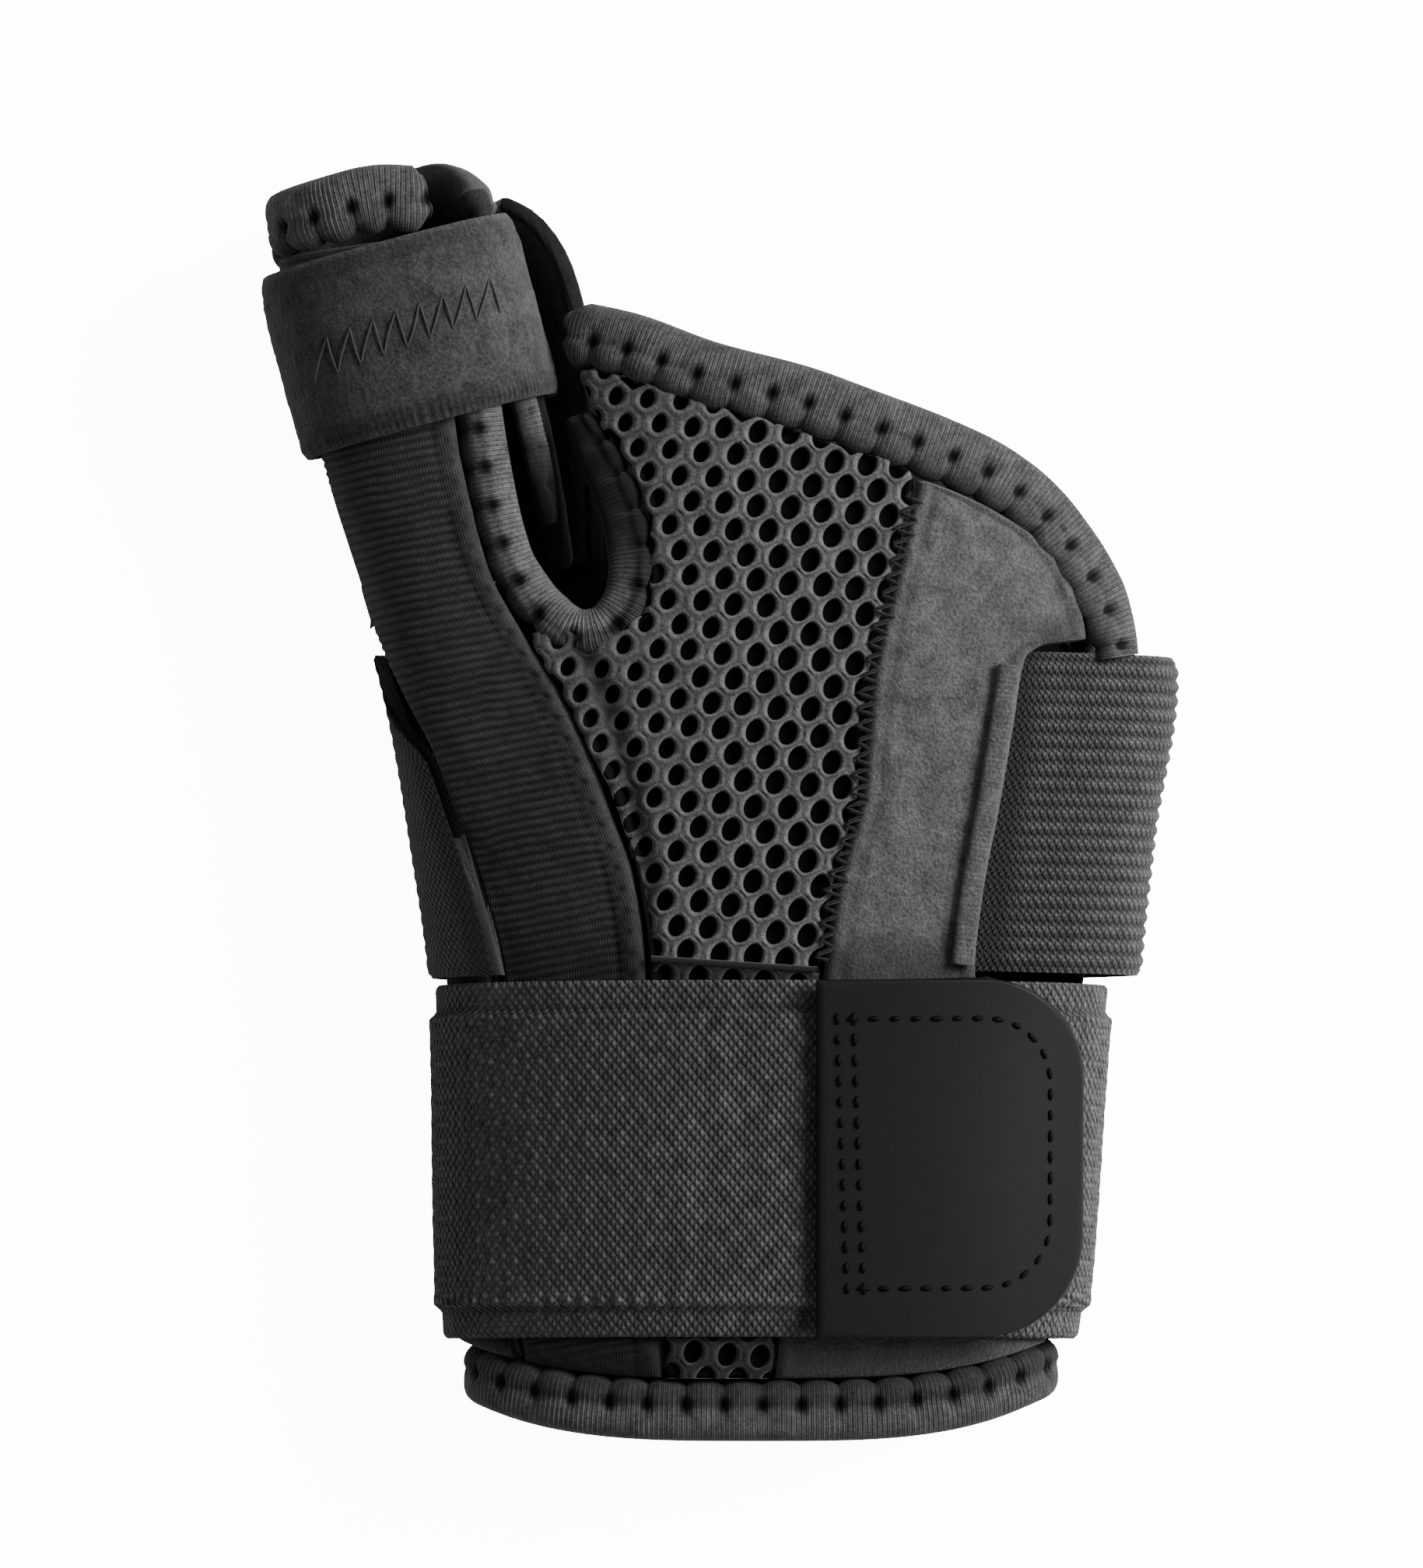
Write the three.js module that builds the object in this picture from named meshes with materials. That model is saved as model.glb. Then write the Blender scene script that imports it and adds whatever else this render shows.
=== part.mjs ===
import * as THREE from 'three';

// A thumb spica splint for wrist and thumb, lying on its back, palm side up.
// +X is to the right, +Y runs from the cuff to the thumb's tip and +Z is up.

// Driving dimensions, in millimetres
const HALF_WIDTH = 65; // half of the splint from left to right
const HALF_LENGTH = 90; // half of the splint from cuff to thumb tip
const DEPTH = 39; // highest front face over the surface below
const THUMB_HALF_WIDTH = 16.3; // of the thumb tube, outside
const THUMB_HALF_DEPTH = 13.8;
const PANEL_WALL = 3; // padded panel
const LAYER_GAP = 0.45; // between a layer and the one on top of it
const SEAM_GAP = 0.5; // between two panels that meet edge to edge
const STRAP_WALL = 2.2; // straps round the wrist and the hand
const LOWER_STRAP_WIDTH = 50;
const UPPER_STRAP_WIDTH = 45;
const SELVEDGE_WIDTH = 4; // thin margin of the lower strap
const SELVEDGE_WALL = 1.2;
const THUMB_STRAP_WIDTH = 25.5;
const THUMB_STRAP_WALL = 2.1;
const BINDING_WIDTH = 8.2; // hand, cuff and thumb rim
const BINDING_CROWN = 0.9; // how far a binding stands over its panel
const SLIT_BINDING_WIDTH = 5.4;
const EDGE_STRIP_WIDTH = 4.6; // bound edge of the thumb's rear half
const PIPING_WIDTH = 3.2;
const PIPING_WALL = 1.2;
const TAB_WALL = 1.9;
const TAB_LENGTH = 38;
const TAB_CORNER = 14;
const WEB_WALL = 2.4;
const SQUARENESS = 2.4; // power of the rounded sections
const BACK_FLAT = 1.6; // how deep the sections are cut flat at the back
const SLACK = 3.6; // the upper strap stands off the right side by this

const DEGREE = Math.PI / 180;
const BACK_HEIGHT = LAYER_GAP + STRAP_WALL;
const CUFF_REST = HALF_LENGTH - BINDING_WIDTH - SEAM_GAP;

// Wrist and hand: each row is a section, in shares of half length, half width and depth
const HAND = scaled([
  { y: -1.0, left: -0.525, right: 0.69, backLeft: -0.525, top: 0.85 },
  { y: -0.9, left: -0.545, right: 0.715, backLeft: -0.545, top: 0.88 },
  { y: -0.83, left: -0.58, right: 0.755, backLeft: -0.58, top: 0.9 },
  { y: -0.31, left: -0.595, right: 0.815, backLeft: -0.595, top: 0.95 },
  { y: -0.055, left: -0.64, right: 0.87, backLeft: -0.64, top: 0.98 },
  { y: 0.21, left: -0.7, right: 0.94, backLeft: -0.71, top: 1.0 },
  { y: 0.3, left: -0.62, right: 0.92, backLeft: -0.765, top: 0.985 },
  { y: 0.5, left: -0.43, right: 0.82, backLeft: -0.5, top: 0.91 },
  { y: 0.67, left: -0.39, right: 0.69, backLeft: -0.39, top: 0.83 },
  { y: 0.82, left: -0.36, right: 0.52, backLeft: -0.36, top: 0.75 },
], { y: HALF_LENGTH, left: HALF_WIDTH, right: HALF_WIDTH, backLeft: HALF_WIDTH, top: DEPTH });

// Thumb tube: centre of each section, its half sizes and its turn in degrees
const THUMB = scaled([
  { y: -0.22, x: -0.445, wide: 0.74, deep: 0.87, z: 0.28, turn: 0 },
  { y: 0.11, x: -0.49, wide: 0.81, deep: 1.0, z: 0.525, turn: 3 },
  { y: 0.32, x: -0.54, wide: 0.91, deep: 1.0, z: 0.525, turn: 8 },
  { y: 0.57, x: -0.62, wide: 1.0, deep: 1.0, z: 0.51, turn: 15 },
  { y: 0.8, x: -0.705, wide: 1.0, deep: 0.97, z: 0.51, turn: 15 },
  { y: 0.985, x: -0.765, wide: 0.89, deep: 0.86, z: 0.5, turn: 15 },
], { y: HALF_LENGTH, x: HALF_WIDTH, wide: THUMB_HALF_WIDTH, deep: THUMB_HALF_DEPTH, z: DEPTH });

const PLAN = { y: HALF_LENGTH, x: HALF_WIDTH, along: HALF_LENGTH, leftX: HALF_WIDTH, leftY: HALF_LENGTH,
  rightX: HALF_WIDTH, rightY: HALF_LENGTH };

// Ribbed sleeve: the two ends of each row across it
const SLEEVE = scaled([
  { at: 0, leftX: -0.43, leftY: -0.9, rightX: -0.13, rightY: -0.9 },
  { at: 1, leftX: -0.455, leftY: -0.67, rightX: -0.145, rightY: -0.67 },
  { at: 2, leftX: -0.465, leftY: -0.44, rightX: -0.157, rightY: -0.44 },
  { at: 3, leftX: -0.475, leftY: -0.285, rightX: -0.166, rightY: -0.25 },
  { at: 4, leftX: -0.52, leftY: -0.145, rightX: -0.19, rightY: -0.12 },
  { at: 5, leftX: -0.575, leftY: -0.03, rightX: -0.245, rightY: -0.01 },
  { at: 6, leftX: -0.63, leftY: 0.08, rightX: -0.293, rightY: 0.08 },
  { at: 7, leftX: -0.695, leftY: 0.17, rightX: -0.345, rightY: 0.16 },
  { at: 8, along: 0.3, rightX: -0.422, rightY: 0.258 },
  { at: 9, along: 0.385, rightX: -0.5, rightY: 0.37 },
  { at: 10, along: 0.475, rightX: -0.54, rightY: 0.475 },
  { at: 11, along: 0.565, rightX: -0.567, rightY: 0.57 },
  { at: 12, along: 0.66, rightX: -0.58, rightY: 0.67 },
  { at: 13, along: 0.77, rightX: -0.6, rightY: 0.795 },
  { at: 14, along: 0.9, rightX: -0.62, rightY: 0.89 },
], PLAN);

// Mesh panel: where its two sides run, by height
const MESH = scaled([
  { y: -0.9, leftX: -0.12, rightX: 0.11 },
  { y: -0.55, leftX: -0.14, rightX: 0.165 },
  { y: -0.25, leftX: -0.157, rightX: 0.217 },
  { y: -0.12, leftX: -0.182, rightX: 0.245 },
  { y: 0.02, leftX: -0.24, rightX: 0.296 },
  { y: 0.08, leftX: -0.284, rightX: 0.302 },
  { y: 0.155, leftX: -0.333, rightX: 0.311 },
  { y: 0.197, leftX: -0.366, rightX: 0.318 },
  { y: 0.214, leftX: -0.374, rightX: 0.322 },
  { y: 0.231, leftX: -0.362, rightX: 0.327 },
  { y: 0.25, leftX: -0.212, rightX: 0.332 },
  { y: 0.29, leftX: -0.172, rightX: 0.345 },
  { y: 0.37, leftX: -0.152, rightX: 0.375 },
  { y: 0.44, leftX: -0.157, rightX: 0.397 },
  { y: 0.5, leftX: -0.18, rightX: 0.417 },
  { y: 0.527, leftX: -0.2, rightX: 0.4 },
  { y: 0.553, leftX: -0.222, rightX: 0.275 },
  { y: 0.593, leftX: -0.265, rightX: 0.125 },
  { y: 0.632, leftX: -0.29, rightX: -0.065 },
  { y: 0.66, leftX: -0.305, rightX: -0.175 },
  { y: 0.68, leftX: -0.31, rightX: -0.27 },
], PLAN);

// Brushed palm panel: its right side, free beside the strap and then along the binding
const PALM = scaled([
  { y: -0.86, rightX: 0.71 },
  { y: -0.6, rightX: 0.765 },
  { y: -0.45, rightX: 0.72 },
  { y: -0.33, rightX: 0.58 },
  { y: -0.26, rightX: 0.553 },
  { y: -0.14, rightX: 0.57 },
  { y: 0.0, rightX: 0.607 },
  { y: 0.12, rightX: 0.635 },
  { y: 0.225, rightX: 0.66 },
  { y: 0.248, rightX: 0.68 },
  { y: 0.26, rightX: 0.77 },
  { y: 0.345, rightX: 0.745 },
  { y: 0.41, rightX: 0.68 },
  { y: 0.46, rightX: 0.59 },
  { y: 0.49, rightX: 0.5 },
  { y: 0.505, rightX: 0.44 },
], PLAN);

// Centre lines of the bindings, seen from the front
const HAND_EDGE = scaled([
  { x: -0.335, y: 0.742 },
  { x: -0.2, y: 0.72 },
  { x: -0.035, y: 0.677 },
  { x: 0.17, y: 0.638 },
  { x: 0.31, y: 0.602 },
  { x: 0.48, y: 0.557 },
  { x: 0.6, y: 0.517 },
  { x: 0.69, y: 0.468 },
  { x: 0.77, y: 0.4 },
  { x: 0.83, y: 0.33 },
  { x: 0.865, y: 0.262 },
], PLAN);
const BACK_EDGE = scaled([
  { x: -0.3, y: 0.7 },
  { x: -0.1, y: 0.66 },
  { x: 0.15, y: 0.6 },
  { x: 0.4, y: 0.535 },
  { x: 0.6, y: 0.46 },
  { x: 0.75, y: 0.37 },
  { x: 0.855, y: 0.262 },
], PLAN);
const SLIT_EDGE = scaled([
  { x: -0.515, y: 0.645 },
  { x: -0.505, y: 0.59 },
  { x: -0.49, y: 0.52 },
  { x: -0.462, y: 0.429 },
  { x: -0.425, y: 0.357 },
  { x: -0.373, y: 0.3 },
  { x: -0.31, y: 0.273 },
  { x: -0.252, y: 0.282 },
  { x: -0.213, y: 0.318 },
  { x: -0.2, y: 0.372 },
  { x: -0.213, y: 0.431 },
  { x: -0.243, y: 0.496 },
  { x: -0.285, y: 0.556 },
  { x: -0.322, y: 0.607 },
], PLAN);
const PIPING_EDGE = scaled([
  { x: 0.618, y: 0.215 },
  { x: 0.598, y: 0.12 },
  { x: 0.57, y: 0.0 },
  { x: 0.535, y: -0.14 },
  { x: 0.517, y: -0.25 },
], PLAN);

// Web behind the thumb strap: its right end, row by row, with its height
const WEB = scaled([
  { at: 0, along: 0.4, x: -0.33, y: 0.4, z: 0.2 },
  { at: 1, along: 0.5, x: -0.33, y: 0.5, z: 0.2 },
  { at: 2, along: 0.6, x: -0.33, y: 0.6, z: 0.22 },
  { at: 3, along: 0.7, x: -0.33, y: 0.7, z: 0.3 },
  { at: 4, along: 0.78, x: -0.333, y: 0.79, z: 0.36 },
  { at: 5, along: 0.84, x: -0.368, y: 0.86, z: 0.38 },
  { at: 6, along: 0.885, x: -0.426, y: 0.912, z: 0.36 },
  { at: 7, along: 0.92, x: -0.49, y: 0.936, z: 0.3 },
], { along: HALF_LENGTH, x: HALF_WIDTH, y: HALF_LENGTH, z: DEPTH });

// Back panel: the two ends of each row, on the front (1) or the back (-1) of the section
const BACK = scaled([
  { at: 0, leftX: -0.455, leftY: -0.86, leftFace: 1, rightX: 0.71, rightY: -0.86, rightFace: -1 },
  { at: 1, leftX: -0.48, leftY: -0.67, leftFace: 1, rightX: 0.75, rightY: -0.67, rightFace: -1 },
  { at: 2, leftX: -0.49, leftY: -0.44, leftFace: 1, rightX: 0.79, rightY: -0.44, rightFace: -1 },
  { at: 3, leftX: -0.5, leftY: -0.285, leftFace: 1, rightX: 0.8, rightY: -0.285, rightFace: -1 },
  { at: 4, leftX: -0.545, leftY: -0.145, leftFace: 1, rightX: 0.835, rightY: -0.145, rightFace: -1 },
  { at: 5, leftX: -0.6, leftY: -0.03, leftFace: 1, rightX: 0.865, rightY: -0.03, rightFace: -1 },
  { at: 6, leftX: -0.655, leftY: 0.08, leftFace: 1, rightX: 0.895, rightY: 0.08, rightFace: -1 },
  { at: 7, leftX: -0.72, leftY: 0.175, leftFace: -1, rightX: 0.9, rightY: 0.18, rightFace: -1 },
  { at: 8, leftX: -0.755, leftY: 0.268, leftFace: -1, rightX: 0.8, rightY: 0.232, rightFace: -1 },
  { at: 9, leftX: -0.6, leftY: 0.325, leftFace: -1, rightX: 0.7, rightY: 0.325, rightFace: -1 },
  { at: 10, leftX: -0.44, leftY: 0.365, leftFace: -1, rightX: 0.56, rightY: 0.405, rightFace: -1 },
  { at: 11, leftX: -0.31, leftY: 0.385, leftFace: -1, rightX: 0.37, rightY: 0.48, rightFace: -1 },
  { at: 12, leftX: -0.3, leftY: 0.45, leftFace: -1, rightX: 0.13, rightY: 0.545, rightFace: -1 },
  { at: 13, leftX: -0.3, leftY: 0.54, leftFace: -1, rightX: -0.11, rightY: 0.605, rightFace: -1 },
  { at: 14, leftX: -0.3, leftY: 0.615, leftFace: -1, rightX: -0.26, rightY: 0.632, rightFace: -1 },
], PLAN);

const OUTLINE = { sleeve: 0x242424, mesh: 0x3a3a3a, brushed: 0x565656, binding: 0x3d3d3d,
  elastic: 0x454545, tab: 0x2b2b2b, dark: 0x161616 };

function scaled(rows, sizes) {
  return rows.map((row) => {
    const lengths = {};
    for (const [column, share] of Object.entries(row)) {
      lengths[column] = share * (sizes[column] ?? 1);
    }
    return lengths;
  });
}

function clamp(value, low, high) {
  return Math.min(Math.max(value, low), high);
}

function mix(from, to, share) {
  return from + (to - from) * share;
}

// A curve through a table's column that never runs past its rows
function curve(rows, key, column) {
  const keys = rows.map((row) => row[key]);
  const values = rows.map((row) => row[column]);
  const last = keys.length - 1;
  const steps = keys.slice(1).map((k, i) => (values[i + 1] - values[i]) / (k - keys[i]));
  const slopes = keys.map((k, i) => {
    if (i === 0) return steps[0];
    if (i === last) return steps[last - 1];
    const product = steps[i - 1] * steps[i];
    return product <= 0 ? 0 : (2 * product) / (steps[i - 1] + steps[i]);
  });
  return (at) => {
    const spot = clamp(at, keys[0], keys[last]);
    let i = 0;
    while (i < last - 1 && spot > keys[i + 1]) i += 1;
    const span = keys[i + 1] - keys[i];
    const t = (spot - keys[i]) / span;
    const ease = t * t * (3 - 2 * t);
    const lean = span * t * (1 - t) * (slopes[i] * (1 - t) - slopes[i + 1] * t);
    return mix(values[i], values[i + 1], ease) + lean;
  };
}

const handLeft = curve(HAND, 'y', 'left');
const handRight = curve(HAND, 'y', 'right');
const handBackLeft = curve(HAND, 'y', 'backLeft');
const handTop = curve(HAND, 'y', 'top');
const thumbX = curve(THUMB, 'y', 'x');
const thumbWide = curve(THUMB, 'y', 'wide');
const thumbDeep = curve(THUMB, 'y', 'deep');
const thumbZ = curve(THUMB, 'y', 'z');
const thumbTurn = curve(THUMB, 'y', 'turn');

function rounded(value) {
  return Math.sign(value) * Math.abs(value) ** (2 / SQUARENESS);
}

function arc(share) {
  return (1 - Math.min(Math.abs(share), 1) ** SQUARENESS) ** (1 / SQUARENESS);
}

function handSection(y, atBack = false) {
  const left = atBack ? handBackLeft(y) : handLeft(y);
  const right = handRight(y);
  const bottom = BACK_HEIGHT - BACK_FLAT;
  return { x: (left + right) / 2, wide: (right - left) / 2,
    z: (handTop(y) + bottom) / 2, deep: (handTop(y) - bottom) / 2 };
}

// A point on the wrist and hand: 90 degrees is the front, 0 the right and 180 the left side
function handPoint(angle, y, offset, atBack = false) {
  const section = handSection(y, atBack);
  const x = section.x + (section.wide + offset) * rounded(Math.cos(angle));
  const z = section.z + (section.deep + offset) * rounded(Math.sin(angle));
  return new THREE.Vector3(x, y, Math.max(z, BACK_HEIGHT - offset));
}

function handAngle(x, y, offset = 0, atBack = false) {
  const section = handSection(y, atBack);
  const share = clamp((x - section.x) / (section.wide + offset), -1, 1);
  return Math.acos(Math.sign(share) * Math.abs(share) ** (SQUARENESS / 2));
}

function thumbPoint(angle, along, offset) {
  const turn = thumbTurn(along) * DEGREE;
  const across = (thumbWide(along) + offset) * rounded(Math.cos(angle));
  const height = thumbZ(along) + (thumbDeep(along) + offset) * rounded(Math.sin(angle));
  return new THREE.Vector3(thumbX(along) + across * Math.cos(turn),
    along + across * Math.sin(turn), height);
}

// Where a point seen from the front lies on the thumb tube: along it and across it
function onThumb(x, y) {
  let along = y;
  let across = 0;
  for (let round = 0; round < 6; round += 1) {
    const turn = thumbTurn(along) * DEGREE;
    across = (x - thumbX(along)) * Math.cos(turn) + (y - along) * Math.sin(turn);
    along = y - across * Math.sin(turn);
  }
  return { along, across };
}

// Height of the front face of wrist, hand and thumb at a point seen from the front
function frontHeight(x, y) {
  const section = handSection(y);
  const hand = section.z + section.deep * arc((x - section.x) / section.wide);
  const spot = onThumb(x, y);
  const share = spot.across / thumbWide(spot.along);
  const thumb = thumbZ(spot.along) + thumbDeep(spot.along) * arc(share);
  const blend = Math.max(1 - Math.abs(hand - thumb) / PANEL_WALL, 0);
  return Math.max(hand, thumb) + (blend * blend * PANEL_WALL) / 4;
}

function frontPoint(x, y) {
  return new THREE.Vector3(x, y, frontHeight(x, y));
}

function cuffTop(angle) {
  const side = Math.cos(angle);
  const lift = side > 0 ? 0.06 * side ** 3 : 0.05 * Math.abs(side) ** 3;
  return -CUFF_REST + lift * HALF_LENGTH;
}

// Direction that stands off a face, from two nearby points each way
function faceNormal(surface, u, v) {
  const step = 0.01;
  const across = surface(Math.min(u + step, 1), v).sub(surface(Math.max(u - step, 0), v));
  const along = surface(u, Math.min(v + step, 1)).sub(surface(u, Math.max(v - step, 0)));
  return across.cross(along).normalize();
}

function fabric(color, roughness = 0.92) {
  return { color, roughness, metalness: 0 };
}

// A closed body; its triangles are turned to face out
function solid(name, points, triangles, look) {
  const volume = triangles.reduce((sum, [a, b, c]) => {
    const turned = points[b].clone().cross(points[c]);
    return sum + points[a].dot(turned);
  }, 0);
  const facing = volume > 0 ? triangles : triangles.map(([a, b, c]) => [a, c, b]);
  const geometry = new THREE.BufferGeometry();
  const flat = points.flatMap((point) => [point.x, point.y, point.z]);
  geometry.setAttribute('position', new THREE.Float32BufferAttribute(flat, 3));
  geometry.setIndex(facing.flat());
  geometry.computeVertexNormals();
  const mesh = new THREE.Mesh(geometry, new THREE.MeshStandardMaterial(look));
  mesh.name = name;
  return mesh;
}

// A padded panel: a grid on a surface, with a wall and thinner, softer borders
function panel(name, surface, { across, along, wall, look, outer = 0 }) {
  const points = [];
  const triangles = [];
  const columns = across + 1;
  const borderShare = 0.32;
  const middle = surface(0.5, 0.5);
  const core = new THREE.Vector3(handSection(middle.y).x, middle.y, DEPTH / 2);
  const outward = Math.sign(faceNormal(surface, 0.5, 0.5).dot(middle.sub(core)));
  for (let j = 0; j <= along; j += 1) {
    for (let i = 0; i < columns; i += 1) {
      const point = surface(i / across, j / along);
      const normal = faceNormal(surface, i / across, j / along).multiplyScalar(outward);
      const border = i === 0 || j === 0 || i === across || j === along;
      const half = wall * (border ? borderShare : 0.5);
      points.push(point.clone().addScaledVector(normal, outer - wall / 2 + half));
      points.push(point.clone().addScaledVector(normal, outer - wall / 2 - half));
    }
  }
  const front = (i, j) => 2 * (j * columns + i);
  const back = (i, j) => front(i, j) + 1;
  for (let j = 0; j < along; j += 1) {
    for (let i = 0; i < across; i += 1) {
      triangles.push([front(i, j), front(i + 1, j), front(i + 1, j + 1)]);
      triangles.push([front(i, j), front(i + 1, j + 1), front(i, j + 1)]);
      triangles.push([back(i, j), back(i + 1, j + 1), back(i + 1, j)]);
      triangles.push([back(i, j), back(i, j + 1), back(i + 1, j + 1)]);
    }
  }
  const rim = [];
  for (let i = 0; i < across; i += 1) rim.push([i, 0]);
  for (let j = 0; j < along; j += 1) rim.push([across, j]);
  for (let i = across; i > 0; i -= 1) rim.push([i, along]);
  for (let j = along; j > 0; j -= 1) rim.push([0, j]);
  rim.forEach(([i, j], k) => {
    const [nextI, nextJ] = rim[(k + 1) % rim.length];
    triangles.push([front(i, j), back(i, j), back(nextI, nextJ)]);
    triangles.push([front(i, j), back(nextI, nextJ), front(nextI, nextJ)]);
  });
  return solid(name, points, triangles, look);
}

// A section swept along a path: place(share, corner) gives each corner of each section
function swept(name, place, { steps, corners, closed, look }) {
  const points = [];
  const triangles = [];
  const rings = closed ? steps : steps + 1;
  for (let k = 0; k < rings; k += 1) {
    for (let c = 0; c < corners; c += 1) points.push(place(k / steps, c));
  }
  for (let k = 0; k < steps; k += 1) {
    const here = k * corners;
    const next = ((k + 1) % rings) * corners;
    for (let c = 0; c < corners; c += 1) {
      const d = (c + 1) % corners;
      triangles.push([here + c, next + c, next + d], [here + c, next + d, here + d]);
    }
  }
  if (!closed) {
    const last = steps * corners;
    for (let c = 1; c < corners - 1; c += 1) {
      triangles.push([0, c, c + 1], [last, last + c + 1, last + c]);
    }
  }
  return solid(name, points, triangles, look);
}

// Section of a folded strip: across it from -1 to 1, and up and down from its middle
const FOLD = [
  { side: -1, rise: 0.2 }, { side: -0.92, rise: 0.8 }, { side: -0.45, rise: 1 },
  { side: 0.45, rise: 1 }, { side: 0.92, rise: 0.8 }, { side: 1, rise: 0.2 },
  { side: 0.9, rise: -0.8 }, { side: -0.9, rise: -0.8 },
];

// A folded strip along a path that gives points of a face and directions off it
function binding(name, path, { width, steps, top, thick, look, narrow = () => 1 }) {
  const place = (share, corner) => {
    const step = 0.004;
    const { point, normal } = path(share);
    const ahead = path(Math.min(share + step, 1)).point;
    const behind = path(Math.max(share - step, 0)).point;
    const side = normal.clone().cross(ahead.sub(behind)).normalize();
    const profile = FOLD[corner];
    const height = top - thick / 2 + (profile.rise * thick) / 2;
    return point.clone().addScaledVector(side, (profile.side * width * narrow(share)) / 2)
      .addScaledVector(normal, height);
  };
  return swept(name, place, { steps, corners: FOLD.length, closed: false, look });
}

function planPath(rows, height, facing) {
  const line = new THREE.CatmullRomCurve3(
    rows.map((row) => new THREE.Vector3(row.x, row.y, 0)), false, 'centripetal');
  const reach = 0.6;
  const spot = (x, y) => new THREE.Vector3(x, y, height(x, y));
  return (share) => {
    const { x, y } = line.getPointAt(share);
    const alongX = spot(x + reach, y).sub(spot(x - reach, y));
    const alongY = spot(x, y + reach).sub(spot(x, y - reach));
    return { point: spot(x, y), normal: alongX.cross(alongY).normalize().multiplyScalar(facing) };
  };
}

function backHeightAt(x, y) {
  const section = handSection(y, true);
  const height = section.z - section.deep * arc((x - section.x) / section.wide);
  return Math.max(height, BACK_HEIGHT);
}

// A path round the thumb tube, by angle and place along it
function thumbPath(angleAt, alongAt) {
  return (share) => {
    const angle = angleAt(share);
    const along = alongAt(share);
    const turn = 0.02;
    const point = thumbPoint(angle, along, 0);
    const round = thumbPoint(angle + turn, along, 0).sub(thumbPoint(angle - turn, along, 0));
    const onward = thumbPoint(angle, along + 1, 0).sub(thumbPoint(angle, along - 1, 0));
    return { point, normal: onward.cross(round).normalize() };
  };
}

function smooth(from, to, value) {
  const t = clamp((value - from) / (to - from), 0, 1);
  return t * t * (3 - 2 * t);
}

const SIDE_SEAM = 176 * DEGREE;

function staySleeve() {
  const rows = SLEEVE.map((row) => {
    if (row.along === undefined) return row;
    const seam = thumbPoint(SIDE_SEAM, row.along, 0);
    return { ...row, leftX: seam.x, leftY: seam.y };
  });
  const [leftX, leftY] = [curve(rows, 'at', 'leftX'), curve(rows, 'at', 'leftY')];
  const [rightX, rightY] = [curve(rows, 'at', 'rightX'), curve(rows, 'at', 'rightY')];
  const last = rows.length - 1;
  const surface = (u, v) => {
    const at = v * last;
    const eased = 1 - Math.cos((u * Math.PI) / 2);
    const x = mix(leftX(at), rightX(at), eased);
    const y = mix(leftY(at), rightY(at), eased);
    const lift = cuffTop(handAngle(x, y)) + SEAM_GAP - rows[0].leftY;
    return frontPoint(x, y + lift * Math.max(1 - at, 0));
  };
  return panel('stay_sleeve', surface, { across: 8, along: 24, wall: PANEL_WALL,
    look: fabric(OUTLINE.sleeve) });
}

// A front panel between two sides that are tables by height, a grid row to each table row
function frontPanel(name, leftX, rightX, rows, { across, along, ease, look }) {
  const heights = curve(rows.map((row, at) => ({ at, y: row.y })), 'at', 'y');
  const last = rows.length - 1;
  const low = rows[0].y;
  const surface = (u, v) => {
    const share = ease(u);
    const footX = mix(leftX(low), rightX(low), share);
    const lift = cuffTop(handAngle(footX, low)) + SEAM_GAP - low;
    const y = heights(v * last) + lift * Math.max(1 - v * last, 0);
    return frontPoint(mix(leftX(y), rightX(y), share), y);
  };
  return panel(name, surface, { across, along, wall: PANEL_WALL, look });
}

function meshPanel() {
  return frontPanel('mesh_panel', curve(MESH, 'y', 'leftX'), curve(MESH, 'y', 'rightX'), MESH,
    { across: 8, along: 30, ease: (u) => u, look: fabric(OUTLINE.mesh) });
}

function palmPanel() {
  const seam = curve(MESH, 'y', 'rightX');
  return frontPanel('palm_panel', (y) => seam(y) + SEAM_GAP, curve(PALM, 'y', 'rightX'), PALM,
    { across: 8, along: 30, ease: (u) => Math.sin((u * Math.PI) / 2), look: fabric(OUTLINE.brushed) });
}

function backPanel() {
  const column = (name) => curve(BACK, 'at', name);
  const [leftX, leftY, rightX, rightY] = ['leftX', 'leftY', 'rightX', 'rightY'].map(column);
  const leftAngles = BACK.map((row) => ({ at: row.at,
    angle: row.leftFace * handAngle(row.leftX, row.leftY, 0, true) - (row.leftFace + 1) * Math.PI }));
  const rightAngles = BACK.map((row) => ({ at: row.at,
    angle: -handAngle(row.rightX, row.rightY, 0, true) }));
  const leftAngle = curve(leftAngles, 'at', 'angle');
  const rightAngle = curve(rightAngles, 'at', 'angle');
  const last = BACK.length - 1;
  const surface = (u, v) => {
    const at = v * last;
    const angle = mix(rightAngle(at), leftAngle(at), u);
    const y = mix(rightY(at), leftY(at), u);
    const lift = cuffTop(angle) + SEAM_GAP - BACK[0].leftY;
    return handPoint(angle, y + lift * Math.max(1 - at, 0), 0, true);
  };
  return panel('back_panel', surface, { across: 16, along: 22, wall: PANEL_WALL,
    look: fabric(OUTLINE.sleeve) });
}

// Rim of the thumb's rear half: it drops to the right, where the opening is
function rearRim(angle) {
  const drop = 0.035 * smooth(-60 * DEGREE, 20 * DEGREE, angle);
  return (0.935 - drop) * HALF_LENGTH;
}

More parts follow.
